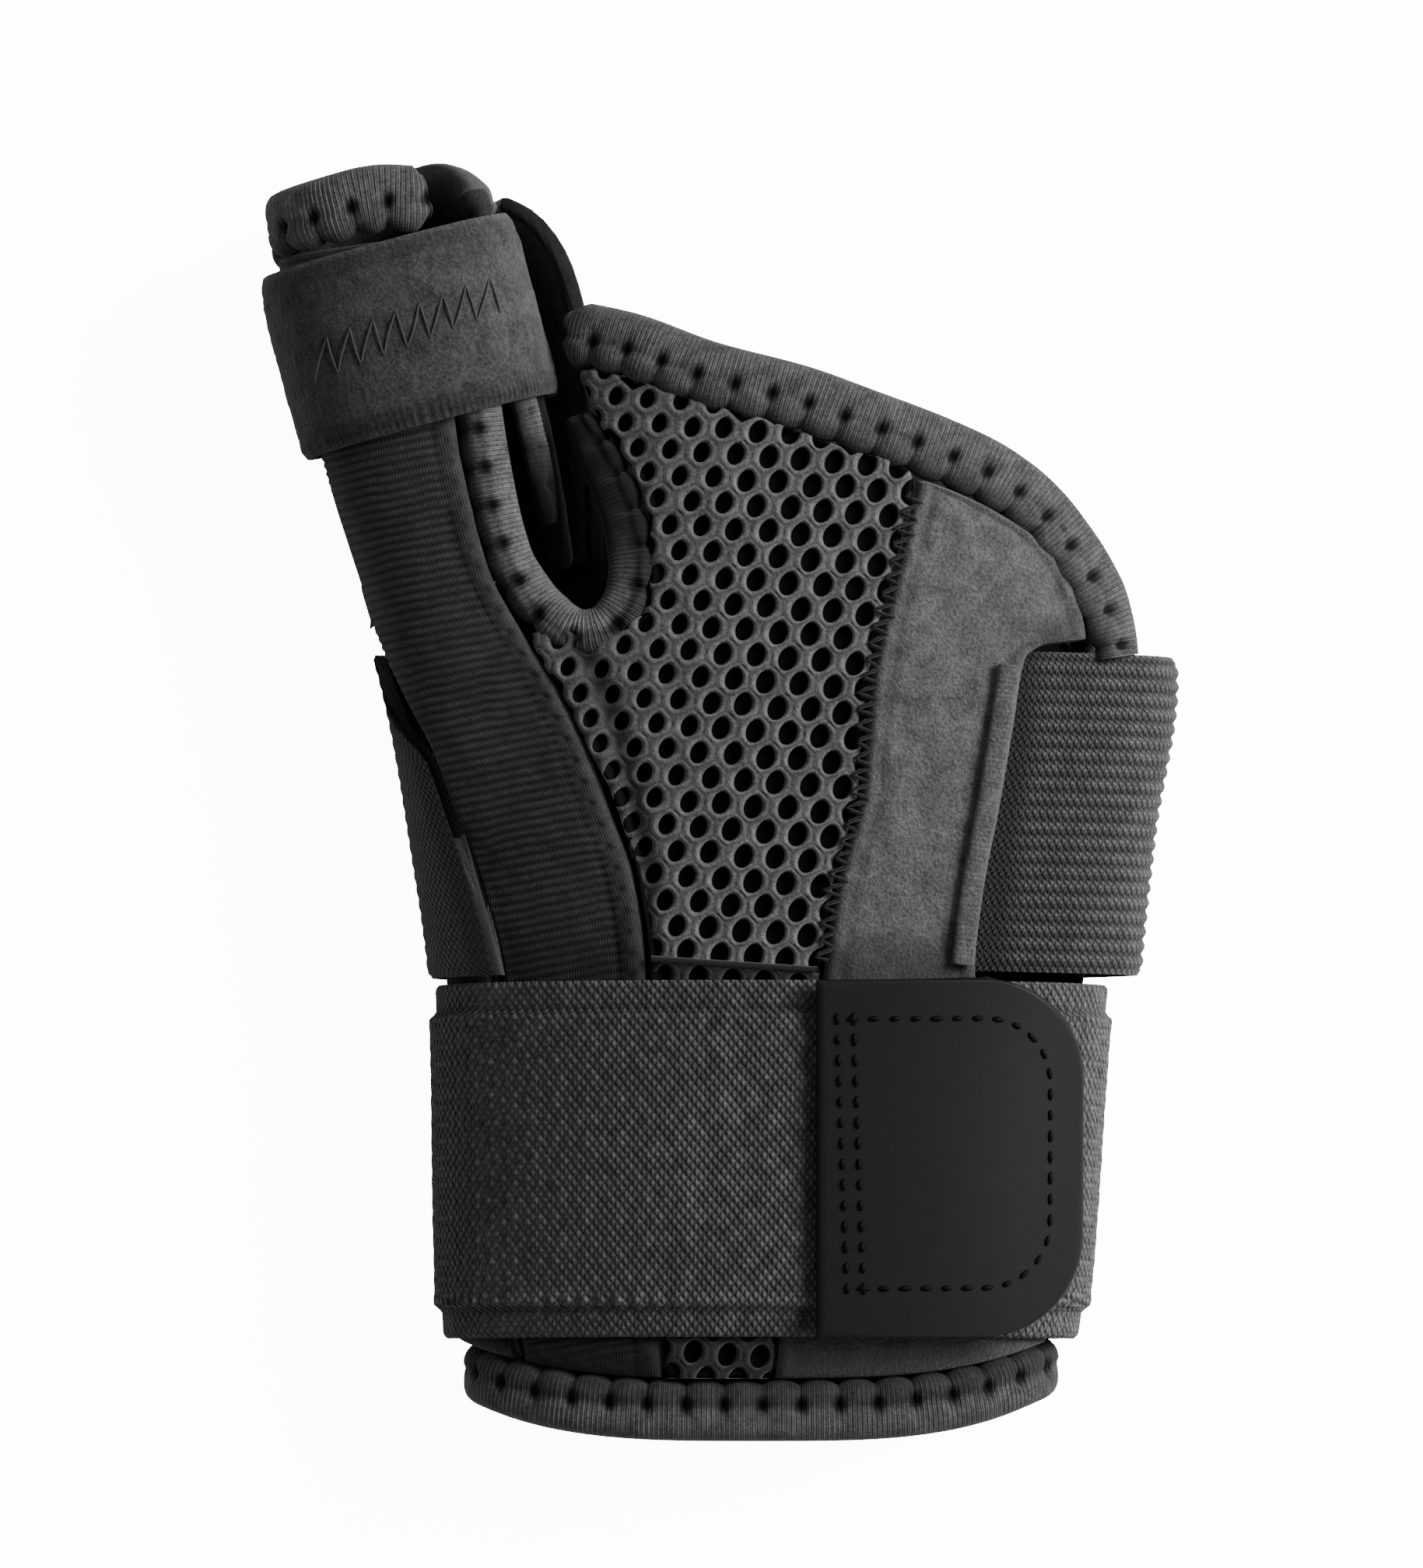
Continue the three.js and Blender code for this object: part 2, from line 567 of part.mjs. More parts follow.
function thumbBack() {
  const start = 0.345 * HALF_LENGTH;
  const surface = (u, v) => {
    const angle = mix(-176, 12, u) * DEGREE;
    const stop = rearRim(angle) - BINDING_WIDTH / 2 - 2 * SEAM_GAP;
    return thumbPoint(angle, mix(start, stop, v), 0);
  };
  return panel('thumb_back', surface, { across: 12, along: 11, wall: PANEL_WALL,
    look: fabric(OUTLINE.dark) });
}

function thumbWeb() {
  const column = (name) => curve(WEB, 'at', name);
  const [along, x, y, z] = ['along', 'x', 'y', 'z'].map(column);
  const clear = LAYER_GAP * 2 + THUMB_STRAP_WALL + WEB_WALL;
  const last = WEB.length - 1;
  const surface = (u, v) => {
    const at = v * last;
    const left = thumbPoint(-60 * DEGREE, along(at), clear);
    const right = new THREE.Vector3(x(at), y(at), z(at));
    const swell = Math.sin(Math.PI * u) * WEB_WALL;
    return left.lerp(right, u).add(new THREE.Vector3(swell / 2, 0, -swell));
  };
  return panel('thumb_web', surface, { across: 7, along: 14, wall: WEB_WALL,
    look: fabric(OUTLINE.dark) });
}

function thumbRims() {
  const size = { width: BINDING_WIDTH, steps: 16, top: BINDING_CROWN,
    thick: PANEL_WALL + 2 * BINDING_CROWN, look: fabric(OUTLINE.binding) };
  const frontAngle = (share) => mix(171, 64, share) * DEGREE;
  const frontAlong = (share) => (0.95 - 0.02 * smooth(0.7, 1, share)) * HALF_LENGTH;
  const rearAngle = (share) => mix(-172, 16, share) * DEGREE;
  return [
    binding('thumb_rim_front', thumbPath(frontAngle, frontAlong), size),
    binding('thumb_rim_back', thumbPath(rearAngle, (share) => rearRim(rearAngle(share))),
      { ...size, steps: 22, narrow: (share) => 1 - 0.55 * smooth(0.6, 1, share) }),
  ];
}

function edgeStrip() {
  const angleAt = (share) => mix(26, 31, share) * DEGREE;
  const alongAt = (share) => mix(0.48, 0.78, share) * HALF_LENGTH;
  return binding('thumb_edge_strip', thumbPath(angleAt, alongAt), { width: EDGE_STRIP_WIDTH,
    steps: 10, top: 0, thick: PANEL_WALL, look: fabric(OUTLINE.binding) });
}

function edgeBindings() {
  const size = { top: BINDING_CROWN, thick: PANEL_WALL + 2 * BINDING_CROWN,
    look: fabric(OUTLINE.binding) };
  return [
    binding('hand_binding', planPath(HAND_EDGE, frontHeight, 1),
      { ...size, width: BINDING_WIDTH, steps: 22 }),
    binding('back_binding', planPath(BACK_EDGE, backHeightAt, -1),
      { ...size, width: BINDING_WIDTH, steps: 22, top: 0 }),
    binding('slit_binding', planPath(SLIT_EDGE, frontHeight, 1),
      { ...size, width: SLIT_BINDING_WIDTH, steps: 28, top: 0.2 }),
    binding('palm_piping', planPath(PIPING_EDGE, frontHeight, 1),
      { width: PIPING_WIDTH, steps: 12, top: LAYER_GAP + PIPING_WALL, thick: PIPING_WALL,
        look: fabric(OUTLINE.brushed) }),
  ];
}

function cuffBinding() {
  const thick = PANEL_WALL + 2 * BINDING_CROWN;
  const place = (share, corner) => {
    const angle = share * 2 * Math.PI;
    const profile = FOLD[corner];
    const y = cuffTop(angle) + ((profile.side - 1) * BINDING_WIDTH) / 2;
    const height = BINDING_CROWN - thick / 2 + (profile.rise * thick) / 2;
    return handPoint(angle, y, height);
  };
  return swept('cuff_binding', place, { steps: 44, corners: FOLD.length, closed: true,
    look: fabric(OUTLINE.binding) });
}

function lowerStrapTop(angle) {
  const middle = -0.287 * HALF_LENGTH;
  return middle + 1.2 * Math.sin(angle);
}

function lowerStrap() {
  const thin = LAYER_GAP + SELVEDGE_WALL;
  const full = LAYER_GAP + STRAP_WALL;
  const step = STRAP_WALL / 2;
  const middle = LOWER_STRAP_WIDTH / 2;
  const profile = [
    { down: 0, rise: LAYER_GAP }, { down: 0, rise: thin }, { down: SELVEDGE_WIDTH, rise: thin },
    { down: SELVEDGE_WIDTH + step, rise: full }, { down: middle, rise: full },
    { down: LOWER_STRAP_WIDTH - SELVEDGE_WIDTH - step, rise: full },
    { down: LOWER_STRAP_WIDTH - SELVEDGE_WIDTH, rise: thin },
    { down: LOWER_STRAP_WIDTH, rise: thin }, { down: LOWER_STRAP_WIDTH, rise: LAYER_GAP },
    { down: middle, rise: LAYER_GAP },
  ];
  const place = (share, corner) => {
    const angle = share * 2 * Math.PI;
    const { down, rise } = profile[corner];
    return handPoint(angle, lowerStrapTop(angle) - down, rise);
  };
  return swept('lower_strap', place, { steps: 56, corners: profile.length, closed: true,
    look: fabric(OUTLINE.elastic) });
}

// The upper strap comes from under the palm panel, round the right side and the back
function upperStrap() {
  const seam = curve(SLEEVE.slice(0, 8), 'leftY', 'leftX');
  const rows = 4;
  const corners = rows * 2;
  const dive = PANEL_WALL + STRAP_WALL + 3 * LAYER_GAP;
  const place = (share, corner) => {
    const row = corner < rows ? corner : corners - 1 - corner;
    const across = row / (rows - 1);
    const outside = corner >= rows;
    const low = lowerStrapTop(mix(62 * DEGREE, -200 * DEGREE, share)) + 3 * LAYER_GAP;
    const y = low + across * UPPER_STRAP_WIDTH;
    const leftEnd = handAngle(seam(y) - 2 * SEAM_GAP, y, BACK_HEIGHT, true) - 2 * Math.PI;
    const tucked = mix(leftEnd, -181 * DEGREE, smooth(0.06 * HALF_LENGTH, 0.19 * HALF_LENGTH, y));
    const angle = mix(62 * DEGREE, tucked, share);
    const sunk = dive * smooth(6 * DEGREE, 48 * DEGREE, angle);
    const side = smooth(-60 * DEGREE, 0, angle) * (1 - smooth(10 * DEGREE, 50 * DEGREE, angle));
    const loose = SLACK * side * (1 - 0.75 * across);
    const rise = LAYER_GAP + (outside ? STRAP_WALL : 0) - sunk + loose;
    return handPoint(angle, y, rise, true);
  };
  return swept('upper_strap', place, { steps: 48, corners, closed: false,
    look: fabric(OUTLINE.elastic) });
}

function thumbStrap() {
  const low = 0.592 * HALF_LENGTH;
  const profile = [
    { up: 0, rise: 0 }, { up: 0, rise: 0.7 }, { up: 0.04, rise: 1 },
    { up: 0.5, rise: 1 }, { up: 0.96, rise: 1 }, { up: 1, rise: 0.7 }, { up: 1, rise: 0 },
    { up: 0.5, rise: 0 },
  ];
  const place = (share, corner) => {
    const { up, rise } = profile[corner];
    return thumbPoint(share * 2 * Math.PI, low + up * THUMB_STRAP_WIDTH,
      LAYER_GAP + rise * THUMB_STRAP_WALL);
  };
  return swept('thumb_strap', place, { steps: 40, corners: profile.length, closed: true,
    look: fabric(OUTLINE.brushed) });
}

// The smooth tab: a D with two round corners on the right
function hookTab() {
  const rise = LAYER_GAP * 2 + STRAP_WALL + TAB_WALL;
  const right = 0.79 * HALF_WIDTH;
  const half = LOWER_STRAP_WIDTH / 2;
  const surface = (u, v) => {
    const fromMiddle = -half * Math.cos(Math.PI * v);
    const y = lowerStrapTop(Math.PI / 2) - half + fromMiddle;
    const inCorner = Math.max(Math.abs(fromMiddle) - (half - TAB_CORNER), 0);
    const cut = TAB_CORNER - Math.sqrt(TAB_CORNER ** 2 - inCorner ** 2);
    const x = mix(right - TAB_LENGTH, right - cut, u);
    return handPoint(handAngle(x, y, rise), y, rise);
  };
  return panel('hook_tab', surface, { across: 8, along: 12, wall: TAB_WALL,
    look: fabric(OUTLINE.tab, 0.6) });
}

const parts = [
  staySleeve(), meshPanel(), palmPanel(), backPanel(), thumbBack(), thumbWeb(), thumbStrap(),
  ...thumbRims(), edgeStrip(), ...edgeBindings(), cuffBinding(), lowerStrap(), upperStrap(),
  hookTab(),
];

const group = new THREE.Group();
group.add(...parts);
const box = new THREE.Box3().setFromObject(group);
const centre = box.getCenter(new THREE.Vector3());
group.position.set(-centre.x, -centre.y, -box.min.z);

export default group;
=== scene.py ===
"""Looks of a thumb spica splint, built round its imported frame."""

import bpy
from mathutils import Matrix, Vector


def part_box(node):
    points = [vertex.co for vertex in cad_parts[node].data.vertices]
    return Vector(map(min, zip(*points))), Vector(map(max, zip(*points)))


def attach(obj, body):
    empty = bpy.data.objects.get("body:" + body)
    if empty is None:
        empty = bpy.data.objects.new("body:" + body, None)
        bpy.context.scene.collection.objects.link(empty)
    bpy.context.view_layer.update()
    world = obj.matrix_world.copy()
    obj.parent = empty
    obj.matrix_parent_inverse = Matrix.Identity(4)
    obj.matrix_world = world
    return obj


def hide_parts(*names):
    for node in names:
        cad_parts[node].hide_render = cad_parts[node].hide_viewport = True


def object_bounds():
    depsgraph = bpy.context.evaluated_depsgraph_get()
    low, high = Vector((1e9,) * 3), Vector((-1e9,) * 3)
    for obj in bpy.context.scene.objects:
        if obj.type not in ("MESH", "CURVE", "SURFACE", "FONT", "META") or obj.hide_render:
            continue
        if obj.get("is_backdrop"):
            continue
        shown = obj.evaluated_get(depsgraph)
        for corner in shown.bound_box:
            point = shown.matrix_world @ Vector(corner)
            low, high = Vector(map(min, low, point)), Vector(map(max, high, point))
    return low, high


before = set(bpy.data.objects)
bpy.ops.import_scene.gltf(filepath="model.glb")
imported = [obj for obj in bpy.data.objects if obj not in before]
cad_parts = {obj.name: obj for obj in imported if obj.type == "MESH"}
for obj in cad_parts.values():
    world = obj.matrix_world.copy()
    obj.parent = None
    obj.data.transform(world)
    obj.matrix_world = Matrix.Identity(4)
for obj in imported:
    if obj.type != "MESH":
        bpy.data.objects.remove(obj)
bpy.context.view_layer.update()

import functools
import logging
import math
from dataclasses import dataclass, field
from enum import Enum
from typing import Callable, Sequence

import bmesh
import bpy
import mathutils
import numpy as np

LOG = logging.getLogger("splint")
MM = 0.001
DEGREE = math.pi / 180

# Driving sizes of the solids, in millimetres
HALF_WIDTH = 65.0
HALF_LENGTH = 90.0
DEPTH = 39.0
THUMB_HALF_WIDTH = 16.3
THUMB_HALF_DEPTH = 13.8
PANEL_WALL = 3.0
MESH_DEPTH = 1.7
LAYER_GAP = 0.45
SEAM_GAP = 0.5
STRAP_WALL = 2.2
LOWER_STRAP_WIDTH = 50.0
UPPER_STRAP_WIDTH = 45.0
SELVEDGE_WIDTH = 4.0
SELVEDGE_WALL = 1.2
THUMB_STRAP_WIDTH = 25.5
THUMB_STRAP_WALL = 2.1
BINDING_WIDTH = 8.2
BINDING_CROWN = 0.9
SLIT_BINDING_WIDTH = 5.4
EDGE_STRIP_WIDTH = 4.6
PIPING_WIDTH = 3.2
PIPING_WALL = 1.2
TAB_WALL = 1.9
TAB_LENGTH = 38.0
TAB_CORNER = 14.0
WEB_WALL = 2.4
SQUARENESS = 2.4
BACK_FLAT = 1.6
SLACK = 3.6
BACK_HEIGHT = LAYER_GAP + STRAP_WALL
CUFF_REST = HALF_LENGTH - BINDING_WIDTH - SEAM_GAP
SIDE_SEAM = 176 * DEGREE
STITCH_PITCH = 5.4
STRAP_BOW = 1.2

# Places as shares of the half length, or of the half width for the tab
CUFF_LIFT_RIGHT = 0.06
CUFF_LIFT_LEFT = 0.05
STRAP_LEVEL = -0.287
REAR_RIM_LEVEL = 0.935
REAR_RIM_DROP = 0.035
THUMB_BACK_FOOT = 0.345
THUMB_STRAP_FOOT = 0.592
TAB_RIGHT = 0.79

Array = np.ndarray
Curve = Callable[[Array], Array]
Relief = Callable[[Array, Array, Array], tuple[Array, Array]]
Ends = tuple["Nodes", bpy.types.Node, bpy.types.Node]
FLOAT, VECTOR, GEOMETRY, MATERIAL = (
    "NodeSocket" + kind for kind in ("Float", "Vector", "Geometry", "Material"))


def monotone(keys: Array, values: Array) -> Curve:
    """Return a smooth curve through points that doesn't run past them.

    Args:
        keys: rising positions.
        values: the value at each position.

    Returns:
        A function of one array.
    """
    steps = np.diff(values) / np.diff(keys)
    slopes = np.zeros(len(keys))
    slopes[0], slopes[-1] = steps[0], steps[-1]
    for i in range(1, len(keys) - 1):
        product = steps[i - 1] * steps[i]
        slopes[i] = 0 if product <= 0 else 2 * product / (steps[i - 1] + steps[i])

    def read(at: Array) -> Array:
        """Return the value at each position.

        Args:
            at: the positions.

        Returns:
            The values.
        """
        spot = np.clip(np.asarray(at, float), keys[0], keys[-1])
        i = np.clip(np.searchsorted(keys, spot, side="left") - 1, 0, len(keys) - 2)
        span = keys[i + 1] - keys[i]
        t = (spot - keys[i]) / span
        ease = t * t * (3 - 2 * t)
        lean = span * t * (1 - t) * (slopes[i] * (1 - t) - slopes[i + 1] * t)
        return values[i] + (values[i + 1] - values[i]) * ease + lean

    return read


def mix(low: Array, high: Array, share: Array) -> Array:
    """Return the value at a share of the way."""
    return low + (high - low) * share


def smooth(low: float, high: float, value: Array) -> Array:
    """Return 0 to 1 over a range, with soft ends."""
    t = np.clip((np.asarray(value, float) - low) / (high - low), 0, 1)
    return t * t * (3 - 2 * t)


def unit(vectors: Array) -> Array:
    """Return the vectors at length one."""
    return vectors / np.maximum(np.linalg.norm(vectors, axis=-1, keepdims=True), 1e-9)


def point(x: Array, y: Array, z: Array) -> Array:
    """Stack three arrays as points."""
    return np.stack(np.broadcast_arrays(x, y, z), axis=-1).astype(float)


def travelled(points: Array, axis: int) -> Array:
    """Return the length walked along an axis of a grid of points, from its start.

    Args:
        points: the grid.
        axis: the axis that is walked along.

    Returns:
        The length at each point.
    """
    steps = np.linalg.norm(np.diff(points, axis=axis), axis=-1)
    start = np.zeros_like(np.take(steps, [0], axis=axis))
    return np.cumsum(np.concatenate([start, steps], axis=axis), axis=axis)


def lengths(points: Array, power: float = 1.0) -> Array:
    """Return the sum of the steps up to each point of a line, each step to a power."""
    steps = np.linalg.norm(np.diff(points, axis=0), axis=1)
    return np.concatenate([[0], np.cumsum(steps ** power)])


def bell(value: Array, width: float) -> Array:
    """Return 1 at 0 and less away from it, over a width."""
    return np.exp(-(value / width) ** 2)


def ripple(value: Array, pitch: float, lead: Array | float = 0.0) -> Array:
    """Return waves from 1 down to 0 and back, one to each pitch, a lead in radians ahead."""
    return 0.5 + 0.5 * np.cos(2 * math.pi * value / pitch + lead)


class Table:
    """Rows of shares of named sizes, read as smooth curves."""

    def __init__(self, names: str, rows: Sequence[Sequence[float]], **sizes: float) -> None:
        """Scale every share.

        Args:
            names: the columns' names.
            rows: the shares, a value to each column.
            sizes: what a column is a share of, 1 where it isn't named.
        """
        self.columns = {name: np.array([row[i] for row in rows]) * sizes.get(name, 1.0)
                        for i, name in enumerate(names.split())}

    def curve(self, key: str, column: str) -> Curve:
        """Return one column as a curve over another."""
        return monotone(self.columns[key], self.columns[column])


PLAN = dict(x=HALF_WIDTH, y=HALF_LENGTH, along=HALF_LENGTH, left_x=HALF_WIDTH,
            left_y=HALF_LENGTH, right_x=HALF_WIDTH, right_y=HALF_LENGTH)

# Wrist and hand, section by section
HAND = Table("y left right back_left top", [
    (-1.0, -0.525, 0.69, -0.525, 0.85),
    (-0.9, -0.545, 0.715, -0.545, 0.88),
    (-0.83, -0.58, 0.755, -0.58, 0.9),
    (-0.31, -0.595, 0.815, -0.595, 0.95),
    (-0.055, -0.64, 0.87, -0.64, 0.98),
    (0.21, -0.7, 0.94, -0.71, 1.0),
    (0.3, -0.62, 0.92, -0.765, 0.985),
    (0.5, -0.43, 0.82, -0.5, 0.91),
    (0.67, -0.39, 0.69, -0.39, 0.83),
    (0.82, -0.36, 0.52, -0.36, 0.75),
], y=HALF_LENGTH, left=HALF_WIDTH, right=HALF_WIDTH, back_left=HALF_WIDTH, top=DEPTH)

# Thumb tube, section by section, with its turn in degrees
THUMB = Table("y x wide deep z turn", [
    (-0.22, -0.445, 0.74, 0.87, 0.28, 0),
    (0.11, -0.49, 0.81, 1.0, 0.525, 3),
    (0.32, -0.54, 0.91, 1.0, 0.525, 8),
    (0.57, -0.62, 1.0, 1.0, 0.51, 15),
    (0.8, -0.705, 1.0, 0.97, 0.51, 15),
    (0.985, -0.765, 0.89, 0.86, 0.5, 15),
], y=HALF_LENGTH, x=HALF_WIDTH, wide=THUMB_HALF_WIDTH, deep=THUMB_HALF_DEPTH, z=DEPTH)

# Ribbed sleeve: the two ends of each row, the left one on the side seam up the thumb
SLEEVE = Table("at along left_x left_y right_x right_y", [
    (0, 0, -0.43, -0.9, -0.13, -0.9),
    (1, 0, -0.455, -0.67, -0.145, -0.67),
    (2, 0, -0.465, -0.44, -0.157, -0.44),
    (3, 0, -0.475, -0.285, -0.166, -0.25),
    (4, 0, -0.52, -0.145, -0.19, -0.12),
    (5, 0, -0.575, -0.03, -0.245, -0.01),
    (6, 0, -0.63, 0.08, -0.293, 0.08),
    (7, 0, -0.695, 0.17, -0.345, 0.16),
    (8, 0.3, 0, 0, -0.422, 0.258),
    (9, 0.385, 0, 0, -0.5, 0.37),
    (10, 0.475, 0, 0, -0.54, 0.475),
    (11, 0.565, 0, 0, -0.567, 0.57),
    (12, 0.66, 0, 0, -0.58, 0.67),
    (13, 0.77, 0, 0, -0.6, 0.795),
    (14, 0.9, 0, 0, -0.62, 0.89),
], **PLAN)

# Mesh panel: where its two sides run
MESH = Table("y left_x right_x", [
    (-0.9, -0.12, 0.11),
    (-0.55, -0.14, 0.165),
    (-0.25, -0.157, 0.217),
    (-0.12, -0.182, 0.245),
    (0.02, -0.24, 0.296),
    (0.08, -0.284, 0.302),
    (0.155, -0.333, 0.311),
    (0.197, -0.366, 0.318),
    (0.214, -0.384, 0.322),
    (0.231, -0.396, 0.327),
    (0.25, -0.408, 0.332),
    (0.262, -0.41, 0.336),
    (0.275, -0.36, 0.34),
    (0.29, -0.172, 0.345),
    (0.37, -0.152, 0.375),
    (0.44, -0.157, 0.397),
    (0.5, -0.18, 0.417),
    (0.527, -0.2, 0.4),
    (0.553, -0.222, 0.275),
    (0.593, -0.265, 0.125),
    (0.632, -0.29, -0.065),
    (0.66, -0.305, -0.175),
    (0.68, -0.31, -0.27),
], **PLAN)

# Rings of a net cell, from its border to below its hole: share of the way in, size of the hole,
# depth below the face, shade, and how much the shade varies
CELL = Table("share size drop shade uneven", [
    (0, 1, 0.3, 0.62, 0),
    (0.35, 1, 0, 0.9, 1),
    (0.75, 1, 0.1, 1.1, 1),
    (1, 1, 0.5, 0.75, 1),
    (1, 0.95, 1, 0.2, 0),
    (1, 1.02, MESH_DEPTH + 0.3, 0.03, 0),
])

# Brushed palm panel: its right side
PALM = Table("y right_x", [
    (-0.86, 0.71),
    (-0.6, 0.765),
    (-0.45, 0.72),
    (-0.33, 0.58),
    (-0.26, 0.553),
    (-0.14, 0.57),
    (0.0, 0.607),
    (0.12, 0.635),
    (0.225, 0.66),
    (0.248, 0.7),
    (0.258, 0.795),
    (0.345, 0.762),
    (0.41, 0.695),
    (0.46, 0.59),
    (0.49, 0.5),
    (0.505, 0.44),
], **PLAN)

# Centre lines of the bindings
HAND_EDGE = Table("x y", [
    (-0.335, 0.742), (-0.2, 0.72), (-0.035, 0.677), (0.17, 0.638), (0.31, 0.602),
    (0.48, 0.557), (0.6, 0.517), (0.69, 0.468), (0.77, 0.4), (0.83, 0.33), (0.865, 0.262),
    (0.872, 0.23),
], **PLAN)
BACK_EDGE = Table("x y", [
    (-0.3, 0.7), (-0.1, 0.66), (0.15, 0.6), (0.4, 0.535), (0.6, 0.46), (0.75, 0.37),
    (0.855, 0.262),
], **PLAN)
SLIT_EDGE = Table("x y", [
    (-0.515, 0.645), (-0.505, 0.59), (-0.49, 0.52), (-0.462, 0.429), (-0.425, 0.357),
    (-0.373, 0.3), (-0.31, 0.273), (-0.252, 0.282), (-0.213, 0.318), (-0.2, 0.372),
    (-0.213, 0.431), (-0.243, 0.496), (-0.285, 0.556), (-0.322, 0.607),
], **PLAN)
PIPING_EDGE = Table("x y", [
    (0.618, 0.215), (0.598, 0.12), (0.57, 0.0), (0.535, -0.14), (0.517, -0.25),
], **PLAN)

# Web behind the thumb strap: its right end, row by row
WEB = Table("at along x y z", [
    (0, 0.36, -0.295, 0.37, 0.225),
    (1, 0.47, -0.295, 0.47, 0.225),
    (2, 0.6, -0.295, 0.6, 0.24),
    (3, 0.7, -0.31, 0.7, 0.3),
    (4, 0.78, -0.333, 0.79, 0.36),
    (5, 0.84, -0.368, 0.86, 0.38),
    (6, 0.885, -0.426, 0.912, 0.36),
    (7, 0.92, -0.49, 0.936, 0.3),
], along=HALF_LENGTH, x=HALF_WIDTH, y=HALF_LENGTH, z=DEPTH)

# Back panel: the two ends of each row, the left one on the front (1) or the back (-1)
BACK = Table("at left_x left_y left_face right_x right_y", [
    (0, -0.455, -0.86, 1, 0.71, -0.86),
    (1, -0.48, -0.67, 1, 0.75, -0.67),
    (2, -0.49, -0.44, 1, 0.79, -0.44),
    (3, -0.5, -0.285, 1, 0.8, -0.285),
    (4, -0.545, -0.145, 1, 0.835, -0.145),
    (5, -0.6, -0.03, 1, 0.865, -0.03),
    (6, -0.655, 0.08, 1, 0.895, 0.08),
    (7, -0.72, 0.175, -1, 0.9, 0.18),
    (8, -0.755, 0.268, -1, 0.8, 0.232),
    (9, -0.6, 0.325, -1, 0.7, 0.325),
    (10, -0.44, 0.365, -1, 0.56, 0.405),
    (11, -0.31, 0.385, -1, 0.37, 0.48),
    (12, -0.3, 0.45, -1, 0.13, 0.545),
    (13, -0.3, 0.54, -1, -0.11, 0.605),
    (14, -0.3, 0.615, -1, -0.26, 0.632),
], **PLAN)


def rounded(value: Array) -> Array:
    """Return a cosine or sine as the superellipse section has it."""
    return np.sign(value) * np.abs(value) ** (2 / SQUARENESS)


def arc(share: Array) -> Array:
    """Return the height of the section's curve at a share of its half width."""
    return (1 - np.minimum(np.abs(share), 1) ** SQUARENESS) ** (1 / SQUARENESS)


